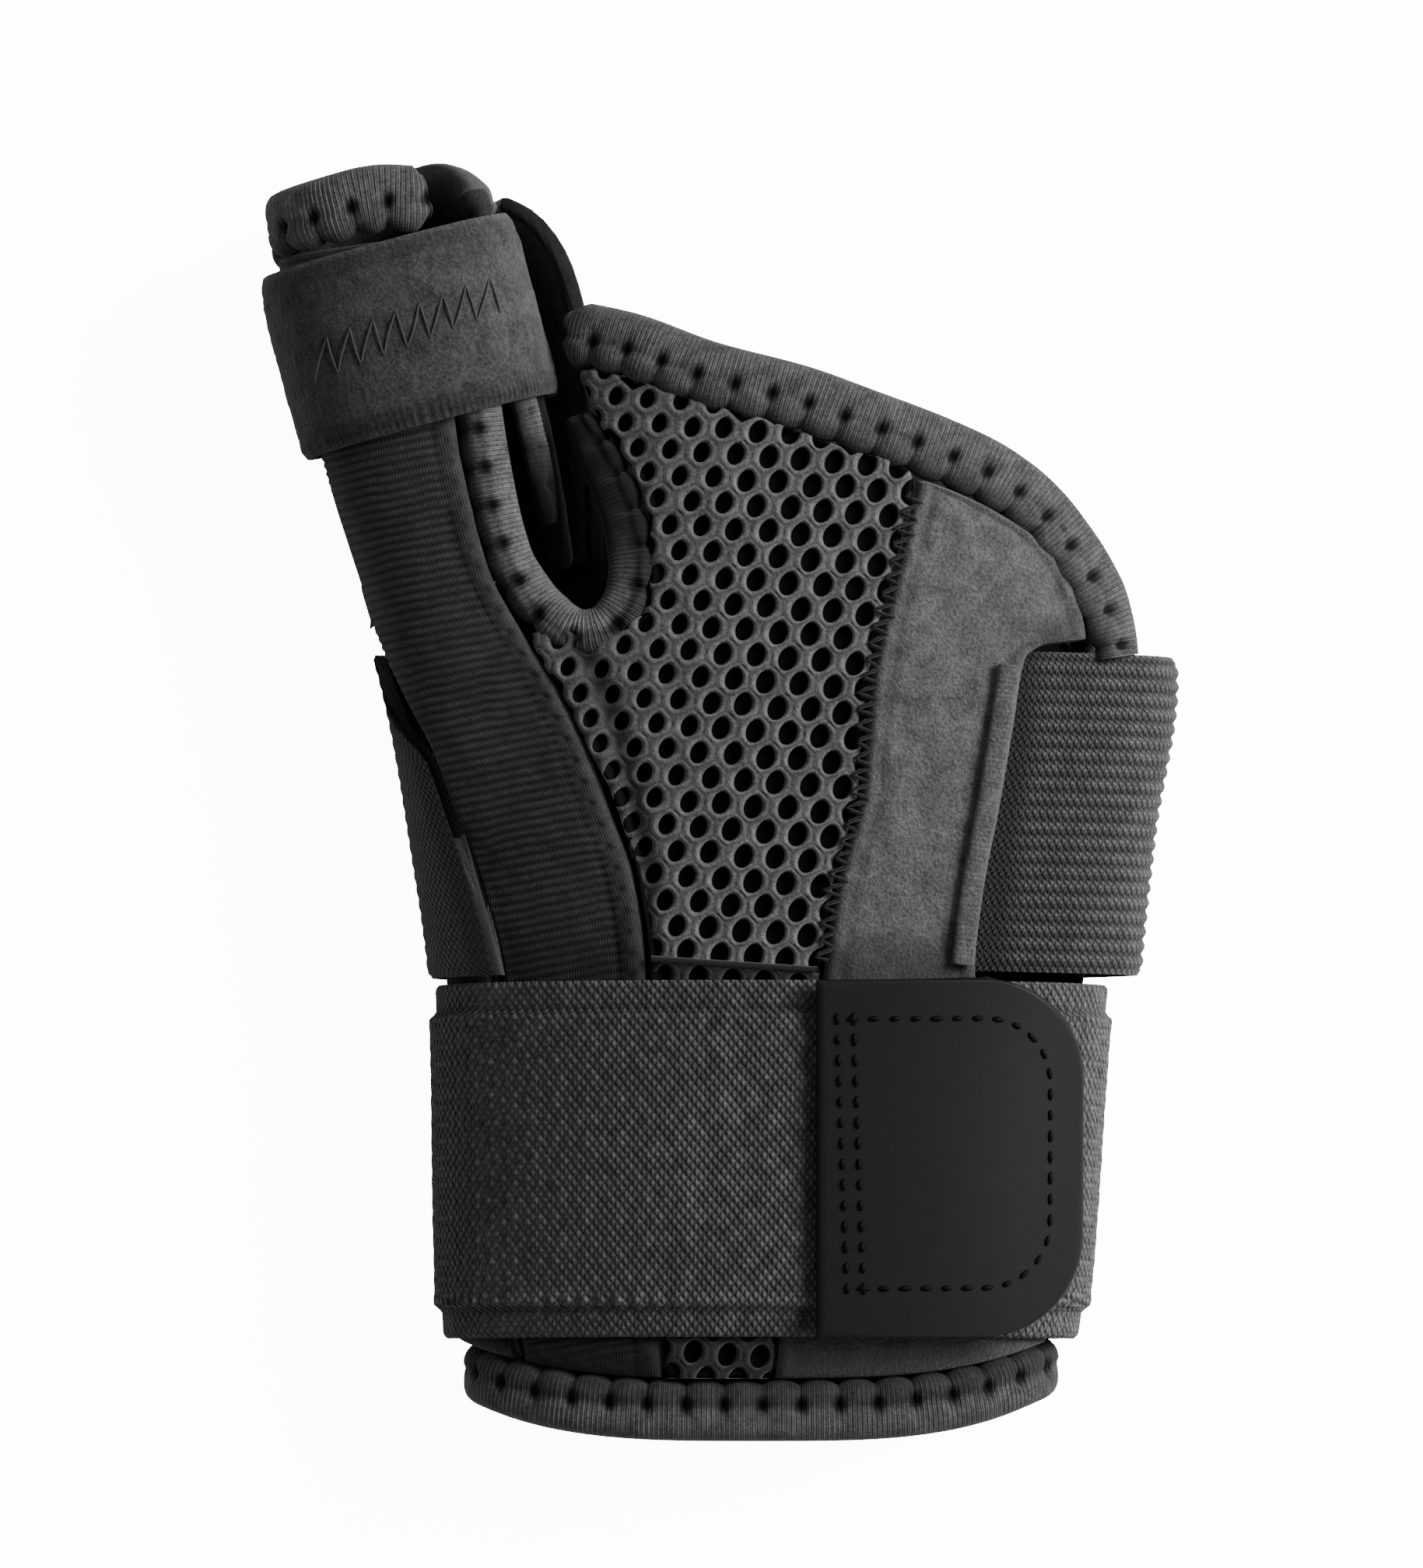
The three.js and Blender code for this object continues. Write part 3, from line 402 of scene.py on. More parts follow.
class Limb:
    """Form of wrist, hand and thumb that every layer follows, palm up, in millimetres."""

    def __init__(self) -> None:
        """Read the tables as curves."""
        self.left = HAND.curve("y", "left")
        self.right = HAND.curve("y", "right")
        self.back_left = HAND.curve("y", "back_left")
        self.top = HAND.curve("y", "top")
        self.tube = {name: THUMB.curve("y", name) for name in ("x", "wide", "deep", "z", "turn")}

    def section(self, y: Array, at_back: bool = False) -> tuple[Array, Array, Array, Array]:
        """Return centre x, half width, centre z and half depth of the hand at y.

        Args:
            y: place along the hand.
            at_back: whether the section of the back is meant.

        Returns:
            The four measures.
        """
        left = self.back_left(y) if at_back else self.left(y)
        right, top = self.right(y), self.top(y)
        bottom = BACK_HEIGHT - BACK_FLAT
        return (left + right) / 2, (right - left) / 2, (top + bottom) / 2, (top - bottom) / 2

    def hand(self, angle: Array, y: Array, offset: Array, at_back: bool = False) -> Array:
        """Return points round the hand.

        Args:
            angle: 90 degrees is the front and 0 the right side, in radians.
            y: place along the hand.
            offset: height over the face.
            at_back: whether the section of the back is meant.

        Returns:
            Points in the last axis.
        """
        x, wide, z, deep = self.section(y, at_back)
        height = z + (deep + offset) * rounded(np.sin(angle))
        return point(x + (wide + offset) * rounded(np.cos(angle)), y,
                     np.maximum(height, BACK_HEIGHT - offset))

    def hand_angle(self, x: Array, y: Array, offset: Array = 0, at_back: bool = False) -> Array:
        """Return the angle of a point of the front.

        Args:
            x: place across the hand.
            y: place along it.
            offset: height over the face.
            at_back: whether the section of the back is meant.

        Returns:
            The angle in radians.
        """
        middle, wide, _, _ = self.section(y, at_back)
        share = np.clip((x - middle) / (wide + offset), -1, 1)
        return np.arccos(np.sign(share) * np.abs(share) ** (SQUARENESS / 2))

    def thumb(self, angle: Array, along: Array, offset: Array) -> Array:
        """Return points round the thumb tube.

        Args:
            angle: angle round the tube in radians.
            along: place along it.
            offset: height over the face.

        Returns:
            Points in the last axis.
        """
        tube = {name: read(along) for name, read in self.tube.items()}
        turn = tube["turn"] * DEGREE
        across = (tube["wide"] + offset) * rounded(np.cos(angle))
        height = tube["z"] + (tube["deep"] + offset) * rounded(np.sin(angle))
        return point(tube["x"] + across * np.cos(turn), along + across * np.sin(turn), height)

    def front_height(self, x: Array, y: Array) -> Array:
        """Return the height of the front face of hand and thumb at points of the plan.

        Args:
            x: place across.
            y: place along.

        Returns:
            The height of each point.
        """
        middle, wide, z, deep = self.section(y)
        hand = z + deep * arc((x - middle) / wide)
        along = np.asarray(y, float) + 0 * np.asarray(x, float)
        for _ in range(6):
            turn = self.tube["turn"](along) * DEGREE
            across = (x - self.tube["x"](along)) * np.cos(turn) + (y - along) * np.sin(turn)
            along = y - across * np.sin(turn)
        share = across / self.tube["wide"](along)
        thumb = self.tube["z"](along) + self.tube["deep"](along) * arc(share)
        blend = np.maximum(1 - np.abs(hand - thumb) / PANEL_WALL, 0)
        return np.maximum(hand, thumb) + blend * blend * PANEL_WALL / 4

    def front(self, x: Array, y: Array) -> Array:
        """Return points of the front face."""
        return point(x, y, self.front_height(x, y))

    def back_height(self, x: Array, y: Array) -> Array:
        """Return the height of the back face at points of the plan."""
        middle, wide, z, deep = self.section(y, True)
        return np.maximum(z - deep * arc((x - middle) / wide), BACK_HEIGHT)

    @staticmethod
    def cuff_top(angle: Array) -> Array:
        """Return how high the cuff's binding reaches at an angle.

        Args:
            angle: angle round the hand.

        Returns:
            The place along the hand.
        """
        side = np.cos(angle)
        lift = np.where(side > 0, CUFF_LIFT_RIGHT, CUFF_LIFT_LEFT) * np.abs(side) ** 3
        return -CUFF_REST + lift * HALF_LENGTH

    @staticmethod
    def strap_top(angle: Array) -> Array:
        """Return the upper edge of the lower strap at an angle."""
        return STRAP_LEVEL * HALF_LENGTH + STRAP_BOW * np.sin(angle)

    @staticmethod
    def rear_rim(angle: Array) -> Array:
        """Return where the rim of the thumb's rear half runs."""
        drop = REAR_RIM_DROP * smooth(-60 * DEGREE, 20 * DEGREE, angle)
        return (REAR_RIM_LEVEL - drop) * HALF_LENGTH


def face_normals(points: Array) -> Array:
    """Return the normals of a grid of points, by its rows and columns.

    Args:
        points: the grid.

    Returns:
        The normal of each point.
    """
    along = np.gradient(points, axis=0)
    across = np.gradient(points, axis=1)
    return unit(np.cross(across, along))


def shares(count: int, soft: float) -> Array:
    """Return shares from 0 to 1 that lie closer at both ends.

    Args:
        count: how many steps.
        soft: share taken by each of the two rounded ends.

    Returns:
        count + 1 shares.
    """
    ends = soft * np.array([0, 0.06, 0.2, 0.45, 0.75])
    inner = np.linspace(soft, 1 - soft, count + 1 - 2 * len(ends))
    return np.concatenate([ends, inner, 1 - ends[::-1]])


def link(obj: bpy.types.Object) -> bpy.types.Object:
    """Put an object in the scene and return it."""
    bpy.context.scene.collection.objects.link(obj)
    return obj


def turn_out(mesh: bpy.types.Mesh) -> None:
    """Turn every face of closed bodies outwards.

    Args:
        mesh: mesh of the bodies.
    """
    body = bmesh.new()
    body.from_mesh(mesh)
    bmesh.ops.recalc_face_normals(body, faces=body.faces)
    body.to_mesh(mesh)
    body.free()


@dataclass
class Shape:
    """A mesh being put together, in millimetres of the design."""

    points: list[Array] = field(default_factory=list)
    shade: list[Array] = field(default_factory=list)
    faces: list[Array] = field(default_factory=list)
    maps: list[Array] = field(default_factory=list)
    count: int = 0

    def add_points(self, points: Array, shade: Array | float = 1.0) -> Array:
        """Add points and return their numbers, in the same grid.

        Args:
            points: the points, in a grid.
            shade: how light each one is.

        Returns:
            Their numbers.
        """
        flat = points.reshape(-1, 3)
        self.points.append(flat)
        self.shade.append(np.broadcast_to(shade, points.shape[:-1]).reshape(-1).astype(float))
        numbers = np.arange(self.count, self.count + len(flat)).reshape(points.shape[:-1])
        self.count += len(flat)
        return numbers

    def add_faces(self, faces: Array, maps: Array | None = None) -> None:
        """Add faces that all have as many corners.

        Args:
            faces: numbers of points, a face to a row.
            maps: map coordinates of each corner in millimetres, or none.
        """
        faces = faces.reshape(-1, faces.shape[-1])
        if maps is None:
            maps = np.zeros(faces.shape + (2,))
        self.faces.append(faces)
        self.maps.append(maps.reshape(faces.shape + (2,)))

    def add_grid(self, numbers: Array, chart: Array) -> None:
        """Add the quads between points that form a grid.

        Args:
            numbers: numbers of the points.
            chart: their map coordinates.
        """
        corners = [(slice(None, -1), slice(None, -1)), (slice(None, -1), slice(1, None)),
                   (slice(1, None), slice(1, None)), (slice(1, None), slice(None, -1))]
        self.add_faces(np.stack([numbers[c] for c in corners], axis=-1),
                       np.stack([chart[c] for c in corners], axis=-2))

    def add_band(self, outer: Array, inner: Array, shades: tuple[Array, float],
                 closed: bool = True) -> Array:
        """Add a strap's two faces and its edges.

        Args:
            outer: points of the outer face, along and across the strap.
            inner: points of the inner face, walked back across it.
            shades: shade of each face.
            closed: whether the strap is a ring. An open one gets flat ends.

        Returns:
            The points along the middle of the outer face.
        """
        numbers = [self.add_points(face, shade) for face, shade in zip((outer, inner), shades)]
        ring = np.concatenate([*numbers, numbers[0][:, :1]], axis=1)
        rim = np.concatenate([outer, inner, outer[:, :1]], axis=1)
        if closed:
            ring, rim = np.concatenate([ring, ring[:1]]), np.concatenate([rim, rim[:1]])
        half = outer.shape[1] // 2
        middle = rim[:, half:half + 1]
        chart = np.stack(np.broadcast_arrays(travelled(middle, 0), travelled(rim, 1)), axis=-1)
        self.add_grid(ring, chart)
        for end in () if closed else (0, -1):
            self.add_faces(ring[end, :-1][None])
        return middle

    def build(self, name: str, look: bpy.types.Material, shift: Array) -> bpy.types.Object:
        """Make the object.

        Args:
            name: its name.
            look: its material.
            shift: what moves the design to the frame, in millimetres.

        Returns:
            The new object, at the origin.
        """
        mesh = bpy.data.meshes.new(name)
        points = (np.concatenate(self.points) + shift) * MM
        mesh.vertices.add(len(points))
        mesh.vertices.foreach_set("co", points.reshape(-1))
        totals = np.concatenate([np.full(len(f), f.shape[1]) for f in self.faces])
        corners = np.concatenate([f.reshape(-1) for f in self.faces])
        mesh.loops.add(len(corners))
        mesh.loops.foreach_set("vertex_index", corners.astype(np.int32))
        mesh.polygons.add(len(totals))
        starts = np.concatenate([[0], np.cumsum(totals)[:-1]])
        mesh.polygons.foreach_set("loop_start", starts.astype(np.int32))
        mesh.polygons.foreach_set("use_smooth", np.ones(len(totals), bool))
        chart = mesh.uv_layers.new(name="UVMap")
        chart.data.foreach_set("uv", np.concatenate([m.reshape(-1) for m in self.maps]) * MM)
        shade = mesh.attributes.new("shade", "FLOAT", "POINT")
        shade.data.foreach_set("value", np.concatenate(self.shade))
        mesh.update(calc_edges=True)
        mesh.validate()
        turn_out(mesh)
        mesh.materials.append(look)
        return link(bpy.data.objects.new(name, mesh))


@dataclass
class Panel:
    """A padded panel laid on a face: fine outside, plain inside, with rounded borders."""

    face: Callable[[Array, Array], Array]
    across: int
    along: int
    wall: float
    round_across: float = 0.03
    round_along: float = 0.01
    stride: int = 4
    rim_share: float = 0.86
    inner_shade: float = 0.6

    def chart(self, points: Array) -> Array:
        """Return map coordinates in millimetres, from the middle column and the first row.

        Args:
            points: points of a face.

        Returns:
            The map coordinates of each point.
        """
        across = travelled(points, 1)
        across = across - across[:, [points.shape[1] // 2]]
        return np.stack([across, travelled(points, 0)], axis=-1)

    def add_to(self, shape: Shape, relief: Relief | None = None, drop: float = 0.0) -> None:
        """Add the panel to a shape.

        Args:
            shape: what it is added to.
            relief: gives height and shade from points, map and distance to the border.
            drop: how far the outside lies lower than the face, away from the border.
        """
        u, v = np.meshgrid(shares(self.across, self.round_across),
                           shares(self.along, self.round_along))
        base = self.face(u, v)
        normals = face_normals(base)
        middle = tuple(n // 2 for n in u.shape)
        core = np.array([0.0, base[middle][1], DEPTH / 2])
        normals = normals * np.sign(np.dot(normals[middle], base[middle] - core))
        chart = self.chart(base)
        width, height = travelled(base, 1), travelled(base, 0)
        near = np.minimum.reduce([width, width[:, [-1]] - width, height, height[[-1]] - height])
        radius = self.wall / 2
        inside = np.clip(radius - near, 0, radius)
        fall = radius - np.sqrt(np.maximum(radius ** 2 - inside ** 2, 0))
        lift, shade = relief(base, chart, near) if relief else (0.0, 1.0)
        lift = (lift - drop) * smooth(0, radius * 1.4, near)
        numbers = shape.add_points(base + normals * (lift - fall)[..., None], shade)
        shape.add_grid(numbers, chart)
        self._line(shape, base, normals, numbers)

    def _line(self, shape: Shape, base: Array, normals: Array, numbers: Array) -> None:
        """Close the panel with a plainer inside.

        Args:
            shape: what it is added to.
            base: points of the face.
            normals: their normals.
            numbers: numbers of the outside's points.
        """
        rows, columns = (np.unique(np.append(np.arange(0, count, self.stride), count - 1))
                         for count in base.shape[:2])
        pick = np.ix_(rows, columns)
        depth = np.full((len(rows), len(columns)), self.wall)
        for edge in ((0, slice(None)), (-1, slice(None)), (slice(None), 0), (slice(None), -1)):
            depth[edge] = self.rim_share * self.wall
        inner = base[pick] - normals[pick] * depth[..., None]
        below = shape.add_points(inner, self.inner_shade)
        shape.add_grid(below, self.chart(inner))
        for fine, plain, picks in ((numbers[0], below[0], columns),
                                   (numbers[-1], below[-1], columns),
                                   (numbers[:, 0], below[:, 0], rows),
                                   (numbers[:, -1], below[:, -1], rows)):
            for k in range(len(picks) - 1):
                loop = np.concatenate([fine[picks[k]:picks[k + 1] + 1], plain[[k + 1, k]]])
                shape.add_faces(loop[None])


@dataclass
class Sweep:
    """A section swept along a path, closed or with capped ends."""

    centre: Array
    side: Array
    up: Array
    closed: bool = False

    def add_to(self, shape: Shape, section: Array, shade: Array) -> None:
        """Add the sweep to a shape.

        Args:
            shape: what it is added to.
            section: across and up of each corner, for each place of the path.
            shade: shade of each point.
        """
        skin = (self.centre[:, None] + self.side[:, None] * section[..., :1]
                + self.up[:, None] * section[..., 1:])
        numbers = shape.add_points(skin, shade)
        ring = np.concatenate([numbers, numbers[:, :1]], axis=1)
        rim = np.concatenate([skin, skin[:, :1]], axis=1)
        path = travelled(self.centre[:, None], 0)
        if self.closed:
            ring = np.concatenate([ring, ring[:1]])
            rim = np.concatenate([rim, rim[:1]])
            last = path[-1] + np.linalg.norm(self.centre[0] - self.centre[-1])
            path = np.concatenate([path, last[None]])
        girth = travelled(rim[:1], 1)
        shape.add_grid(ring, np.stack(np.broadcast_arrays(path, girth), axis=-1))
        for end in () if self.closed else (slice(1), slice(-1, None)):
            shape.add_faces(numbers[end])


class Weave(Enum):
    """Kinds of cloth, each with its own small relief."""

    RIB = "rib"
    BRUSHED = "brushed"
    LOOP = "loop"
    TAPE = "tape"
    SMOOTH = "smooth"
    THREAD = "thread"


@dataclass(frozen=True)
class Finish:
    """Look of one cloth: its two tones and how its surface takes light."""

    name: str
    weave: Weave
    dark: tuple[float, float, float]
    light: tuple[float, float, float]
    roughness: float = 0.85
    sheen: float = 0.3
    relief: float = 0.12
    pitch: float = 0.7
    contrast: float = 1.0
    specular: float = 0.04


def grey(value: float, warm: float = 0.0) -> tuple[float, float, float]:
    """Return a grey that may lean to warm or, below 0, to cool."""
    return value * (1 + warm), value, value * (1 - warm)


FINISHES = {
    "sleeve": Finish("ribbed cloth", Weave.RIB, grey(0.002), grey(0.026), 0.9, 0.05, 0.10, 0.4),
    # Painted shade: the spacer core is drawn nearly black, for the shade deep in the net's holes
    "core": Finish("spacer core", Weave.RIB, grey(0.001), grey(0.003), 0.95, 0.0, 0.05, 0.5),
    "net": Finish("spacer net", Weave.BRUSHED, grey(0.006), grey(0.085), 0.85, 0.08, 0.25,
                  0.5, 1.1),
    "velour": Finish("brushed velour", Weave.BRUSHED, grey(0.009), grey(0.105), 0.9, 0.1, 0.6,
                     0.9, 1.3),
    "back": Finish("back cloth", Weave.RIB, grey(0.002), grey(0.016), 0.9, 0.05, 0.08, 0.6),
    "loop": Finish("brushed loop strap", Weave.BRUSHED, grey(0.003), grey(0.056), 0.9, 0.06, 0.45,
                   0.7, 1.3),
    "tape": Finish("binding tape", Weave.TAPE, grey(0.002), grey(0.1), 0.8, 0.03, 0.12, 0.34, 1.25),
    "knit": Finish("looped elastic", Weave.LOOP, grey(0.002), grey(0.082), 0.8, 0.06, 0.9, 1.25,
                   1.4),
    "elastic": Finish("ribbed elastic", Weave.LOOP, grey(0.006), grey(0.085), 0.8, 0.06, 0.5, 1.02,
                      1.2),
    "tab": Finish("smooth tab sheet", Weave.SMOOTH, grey(0.0035), grey(0.005), 0.5, 0.0, 0.02,
                  0.3, specular=0.06),
    "thread": Finish("sewing thread", Weave.THREAD, grey(0.02), grey(0.085), 0.6, 0.1, 0.05, 0.3),
    "black": Finish("black thread", Weave.THREAD, grey(0.001), grey(0.003), 0.6, 0.0, 0.05, 0.3),
}


class Nodes:
    """Puts nodes in a tree and joins them."""

    def __init__(self, tree: bpy.types.NodeTree) -> None:
        """Keep the tree."""
        self.tree = tree

    def add(self, kind: str, values: dict[str | int, object] | None = None,
            **settings: object) -> bpy.types.Node:
        """Add a node.

        Args:
            kind: its type.
            values: what goes into its inputs, a value or another node's output.
            settings: its own properties.

        Returns:
            The node.
        """
        node = self.tree.nodes.new(kind)
        for name, setting in settings.items():
            setattr(node, name, setting)
        for key, value in (values or {}).items():
            if isinstance(value, bpy.types.NodeSocket):
                self.tree.links.new(value, node.inputs[key])
            else:
                node.inputs[key].default_value = value
        return node

    def math(self, operation: str, *values: object) -> bpy.types.NodeSocket:
        """Return the outcome of a sum of two or three values."""
        return self.add("ShaderNodeMath", dict(enumerate(values)), operation=operation).outputs[0]

    def between(self, value: bpy.types.NodeSocket) -> bpy.types.NodeSocket:
        """Return a value kept from 0 to 1."""
        return self.math("MINIMUM", self.math("MAXIMUM", value, 0.0), 1.0)


def open_tree(name: str, kind: str, inputs: dict[str, tuple[str, object]],
              outputs: dict[str, str]) -> Ends:
    """Make an empty group with its sockets.

    Args:
        name: its name.
        kind: its type.
        inputs: type and first value of each input.
        outputs: type of each output.

    Returns:
        Its nodes, its input node and its output node.
    """
    tree = bpy.data.node_groups.new(name, kind)
    for label, (socket_type, value) in inputs.items():
        socket = tree.interface.new_socket(label, in_out="INPUT", socket_type=socket_type)
        if value is not None:
            socket.default_value = value
    for label, socket_type in outputs.items():
        tree.interface.new_socket(label, in_out="OUTPUT", socket_type=socket_type)
    nodes = Nodes(tree)
    return nodes, nodes.add("NodeGroupInput"), nodes.add("NodeGroupOutput")


class Groups:
    """Shader groups that several finishes use."""

    @staticmethod
    def fibres() -> bpy.types.NodeTree:
        """Make the fuzz of loose fibres: a tone and a height from noise at two sizes.

        Returns:
            The group.
        """
        nodes, start, end = open_tree(
            "loose_fibres", "ShaderNodeTree", {"Vector": (VECTOR, None), "Size": (FLOAT, 0.001)},
            {"Tone": FLOAT, "Height": FLOAT})
        scale = nodes.math("DIVIDE", 1.0, start.outputs["Size"])
        fine = nodes.add("ShaderNodeTexNoise", {"Vector": start.outputs["Vector"], "Scale": scale,
                                                "Detail": 4.0, "Roughness": 0.65}).outputs["Fac"]
        wide = nodes.math("MULTIPLY", scale, 0.16)
        cloud = nodes.add("ShaderNodeTexNoise", {"Vector": start.outputs["Vector"], "Scale": wide,
                                                 "Detail": 2.0, "Distortion": 0.6})
        both = nodes.math("MULTIPLY_ADD", cloud.outputs["Fac"], 0.45,
                          nodes.math("MULTIPLY", fine, 0.55))
        tone = nodes.math("MULTIPLY_ADD", nodes.math("SUBTRACT", both, 0.5), 2.6, 0.5)
        nodes.tree.links.new(nodes.between(tone), end.inputs["Tone"])
        nodes.tree.links.new(fine, end.inputs["Height"])
        return nodes.tree

    @staticmethod
    def lattice() -> bpy.types.NodeTree:
        """Make staggered bumps of yarn over a map: a height from 0 to 1.

        Returns:
            The group.
        """
        nodes, start, end = open_tree(
            "yarn_lattice", "ShaderNodeTree",
            {"Vector": (VECTOR, None), "Pitch": (FLOAT, 0.001), "Stretch": (FLOAT, 1.0)},
            {"Height": FLOAT})
        split = nodes.add("ShaderNodeSeparateXYZ", {0: start.outputs["Vector"]})
        turn = nodes.math("DIVIDE", math.pi, start.outputs["Pitch"])
        across = nodes.math("MULTIPLY", split.outputs["X"], turn)
        along = nodes.math("MULTIPLY", nodes.math("MULTIPLY", split.outputs["Y"], turn),
                           start.outputs["Stretch"])
        first, second = (nodes.math("SINE", nodes.math(way, across, along))
                         for way in ("ADD", "SUBTRACT"))
        height = nodes.math("ABSOLUTE", nodes.math("MULTIPLY", first, second))
        nodes.tree.links.new(height, end.inputs["Height"])
        return nodes.tree

    @staticmethod
    def ribs() -> bpy.types.NodeTree:
        """Make fine ribs across a map: a height from 0 to 1.

        Returns:
            The group.
        """
        nodes, start, end = open_tree(
            "fine_ribs", "ShaderNodeTree", {"Vector": (VECTOR, None), "Pitch": (FLOAT, 0.001)},
            {"Height": FLOAT})
        split = nodes.add("ShaderNodeSeparateXYZ", {0: start.outputs["Vector"]})
        phase = nodes.math("MULTIPLY", split.outputs["X"],
                           nodes.math("DIVIDE", 2 * math.pi, start.outputs["Pitch"]))
        height = nodes.math("MULTIPLY_ADD", nodes.math("SINE", phase), 0.5, 0.5)
        nodes.tree.links.new(height, end.inputs["Height"])
        return nodes.tree


class Wardrobe:
    """Makes each finish once as a material."""

    def __init__(self) -> None:
        """Make the shared groups."""
        self.fibres = Groups.fibres()
        self.lattice = Groups.lattice()
        self.ribs = Groups.ribs()
        self.made: dict[str, bpy.types.Material] = {}

    def __getitem__(self, key: str) -> bpy.types.Material:
        """Return the material of a finish.

        Args:
            key: name of the finish.

        Returns:
            Its material.
        """
        if key not in self.made:
            self.made[key] = self._make(FINISHES[key])
        return self.made[key]

    def _weave(self, nodes: Nodes, finish: Finish,
               fuzz: bpy.types.NodeSocket) -> bpy.types.NodeSocket:
        """Return the height of the small relief, 0 to 1.

        Args:
            nodes: the material's nodes.
            finish: the finish that is made.
            fuzz: height of the fibres.

        Returns:
            The socket with the height.
        """
        if finish.weave in (Weave.BRUSHED, Weave.SMOOTH):
            return fuzz
        looped = finish.weave is Weave.LOOP
        settings = {"Vector": nodes.add("ShaderNodeUVMap", uv_map="UVMap").outputs["UV"],
                    "Pitch": finish.pitch * MM}
        if looped:
            settings["Stretch"] = 0.8
        group = nodes.add("ShaderNodeGroup", settings,
                          node_tree=self.lattice if looped else self.ribs)
        yarn, loose = (0.75, 0.3) if looped else (0.6, 0.4)
        return nodes.math("MULTIPLY_ADD", group.outputs[0], yarn,
                          nodes.math("MULTIPLY", fuzz, loose))

    def _make(self, finish: Finish) -> bpy.types.Material:
        """Make one material.

        Args:
            finish: the finish.

        Returns:
            Its material.
        """
        material = bpy.data.materials.new(finish.name)
        material.use_nodes = True
        tree = material.node_tree
        tree.nodes.clear()
        nodes = Nodes(tree)
        place = nodes.add("ShaderNodeTexCoord").outputs["Object"]
        size = 0.0005 if finish.weave is Weave.BRUSHED else 0.0004
        fibres = nodes.add("ShaderNodeGroup", {"Vector": place, "Size": size},
                           node_tree=self.fibres)
        height = self._weave(nodes, finish, fibres.outputs["Height"])
        shade = nodes.add("ShaderNodeAttribute", attribute_name="shade").outputs["Fac"]
        tone = nodes.math("MULTIPLY_ADD", height, 0.45,
                          nodes.math("MULTIPLY", fibres.outputs["Tone"], 0.55))
        tone = nodes.math("POWER", nodes.math("MULTIPLY", tone, shade), finish.contrast)
        colour = nodes.add("ShaderNodeMix", {"Factor": tone}, data_type="RGBA")
        colour.inputs[6].default_value = (*finish.dark, 1)
        colour.inputs[7].default_value = (*finish.light, 1)
        bump = nodes.add("ShaderNodeBump", {"Height": height, "Strength": 0.9,
                                            "Distance": finish.relief * MM})
        surface = nodes.add("ShaderNodeBsdfPrincipled", {
            "Base Color": colour.outputs[2], "Roughness": finish.roughness,
            "Sheen Weight": finish.sheen, "Sheen Roughness": 0.5,
            "Specular IOR Level": finish.specular, "Normal": bump.outputs["Normal"]})
        out = nodes.add("ShaderNodeOutputMaterial")
        tree.links.new(surface.outputs[0], out.inputs["Surface"])
        return material


class Bench:
    """What every piece is made with: the limb's form, the finishes and the way to the frame."""

    def __init__(self) -> None:
        """Find how the design lies in the frame."""
        self.limb = Limb()
        self.wardrobe = Wardrobe()
        self.shift = self._shift()

    def _shift(self) -> Array:
        """Return what moves the design to the frame, from the boxes of two rings.

        Returns:
            The shift in millimetres.
        """
        strap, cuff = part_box("lower_strap"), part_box("cuff_binding")
        down = np.array([SELVEDGE_WIDTH + STRAP_WALL / 2, LOWER_STRAP_WIDTH / 2])
        reach = self.limb.hand(0.0, self.limb.strap_top(0.0) - down, LAYER_GAP + STRAP_WALL)
        return np.array([strap[1][0] / MM - reach[:, 0].max(),
                         cuff[0][1] / MM + CUFF_REST + BINDING_WIDTH, 0.0])

    def finish(self, shape: Shape, name: str, look: str, node: str,
               slot: str) -> bpy.types.Object:
        """Make a piece that takes the place of a node.

        Args:
            shape: its mesh.
            name: its name.
            look: its finish.
            node: the node that it replaces.
            slot: handed on to adopt.

        Returns:
            The piece.
        """
        obj = shape.build(name, self.wardrobe[look], self.shift)
        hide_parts(node)
        self.adopt(obj, slot)
        return obj

    def pad(self, panel: Panel, relief: Relief, fill: float, name: str, look: str, node: str,
            slot: str, drop: float = 0.0) -> None:
        """Make a padded panel that takes the place of a node.

        Args:
            panel: the panel.
            relief: its relief.
            fill: not used.
            name: its name.
            look: its finish.
            node: the node that it replaces.
            slot: handed on to adopt.
            drop: how far the outside lies lower than the face.
        """
        shape = Shape()
        panel.add_to(shape, relief, drop)
        self.finish(shape, name, look, node, slot)

    def tape(self, binding: "Binding", name: str, node: str, look: str = "tape",
             slot: str = "binding_tape") -> None:
        """Make a binding that takes the place of a node.

        Args:
            binding: the binding.
            name: its name.
            node: the node that it replaces.
            look: its finish.
            slot: handed on to adopt.
        """
        shape = Shape()
        binding.path.add_to(shape, *binding.section())
        self.finish(shape, name, look, node, slot)

    @staticmethod
    def band(obj: bpy.types.Object, width: float, line: Array, rests_on: Sequence[str]) -> None:
        """Log a strap's flat size, as long as its middle line.

        Args:
            obj: the strap.
            width: its width.
            line: points along its middle.
            rests_on: not used.
        """
        length = float(travelled(line.reshape(-1, 3), 0)[-1])
        LOG.info("%s: flat %.0f x %.0f mm", obj.name, width, length)

    def adopt(self, obj: bpy.types.Object, slot: str) -> None:
        """Let a piece go with the splint.

        Args:
            obj: the piece.
            slot: not used.
        """
        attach(obj, "root")
        LOG.info("%s: %d faces", obj.name, len(obj.data.polygons))


def dimple(along: Array, across: Array, pitch: float, long: float, wide: float) -> Array:
    """Return 0 to 1 round points that repeat along a line at a pitch."""
    near = (along + pitch / 2) % pitch - pitch / 2
    return np.exp(-(near / long) ** 2 - (across / wide) ** 2)


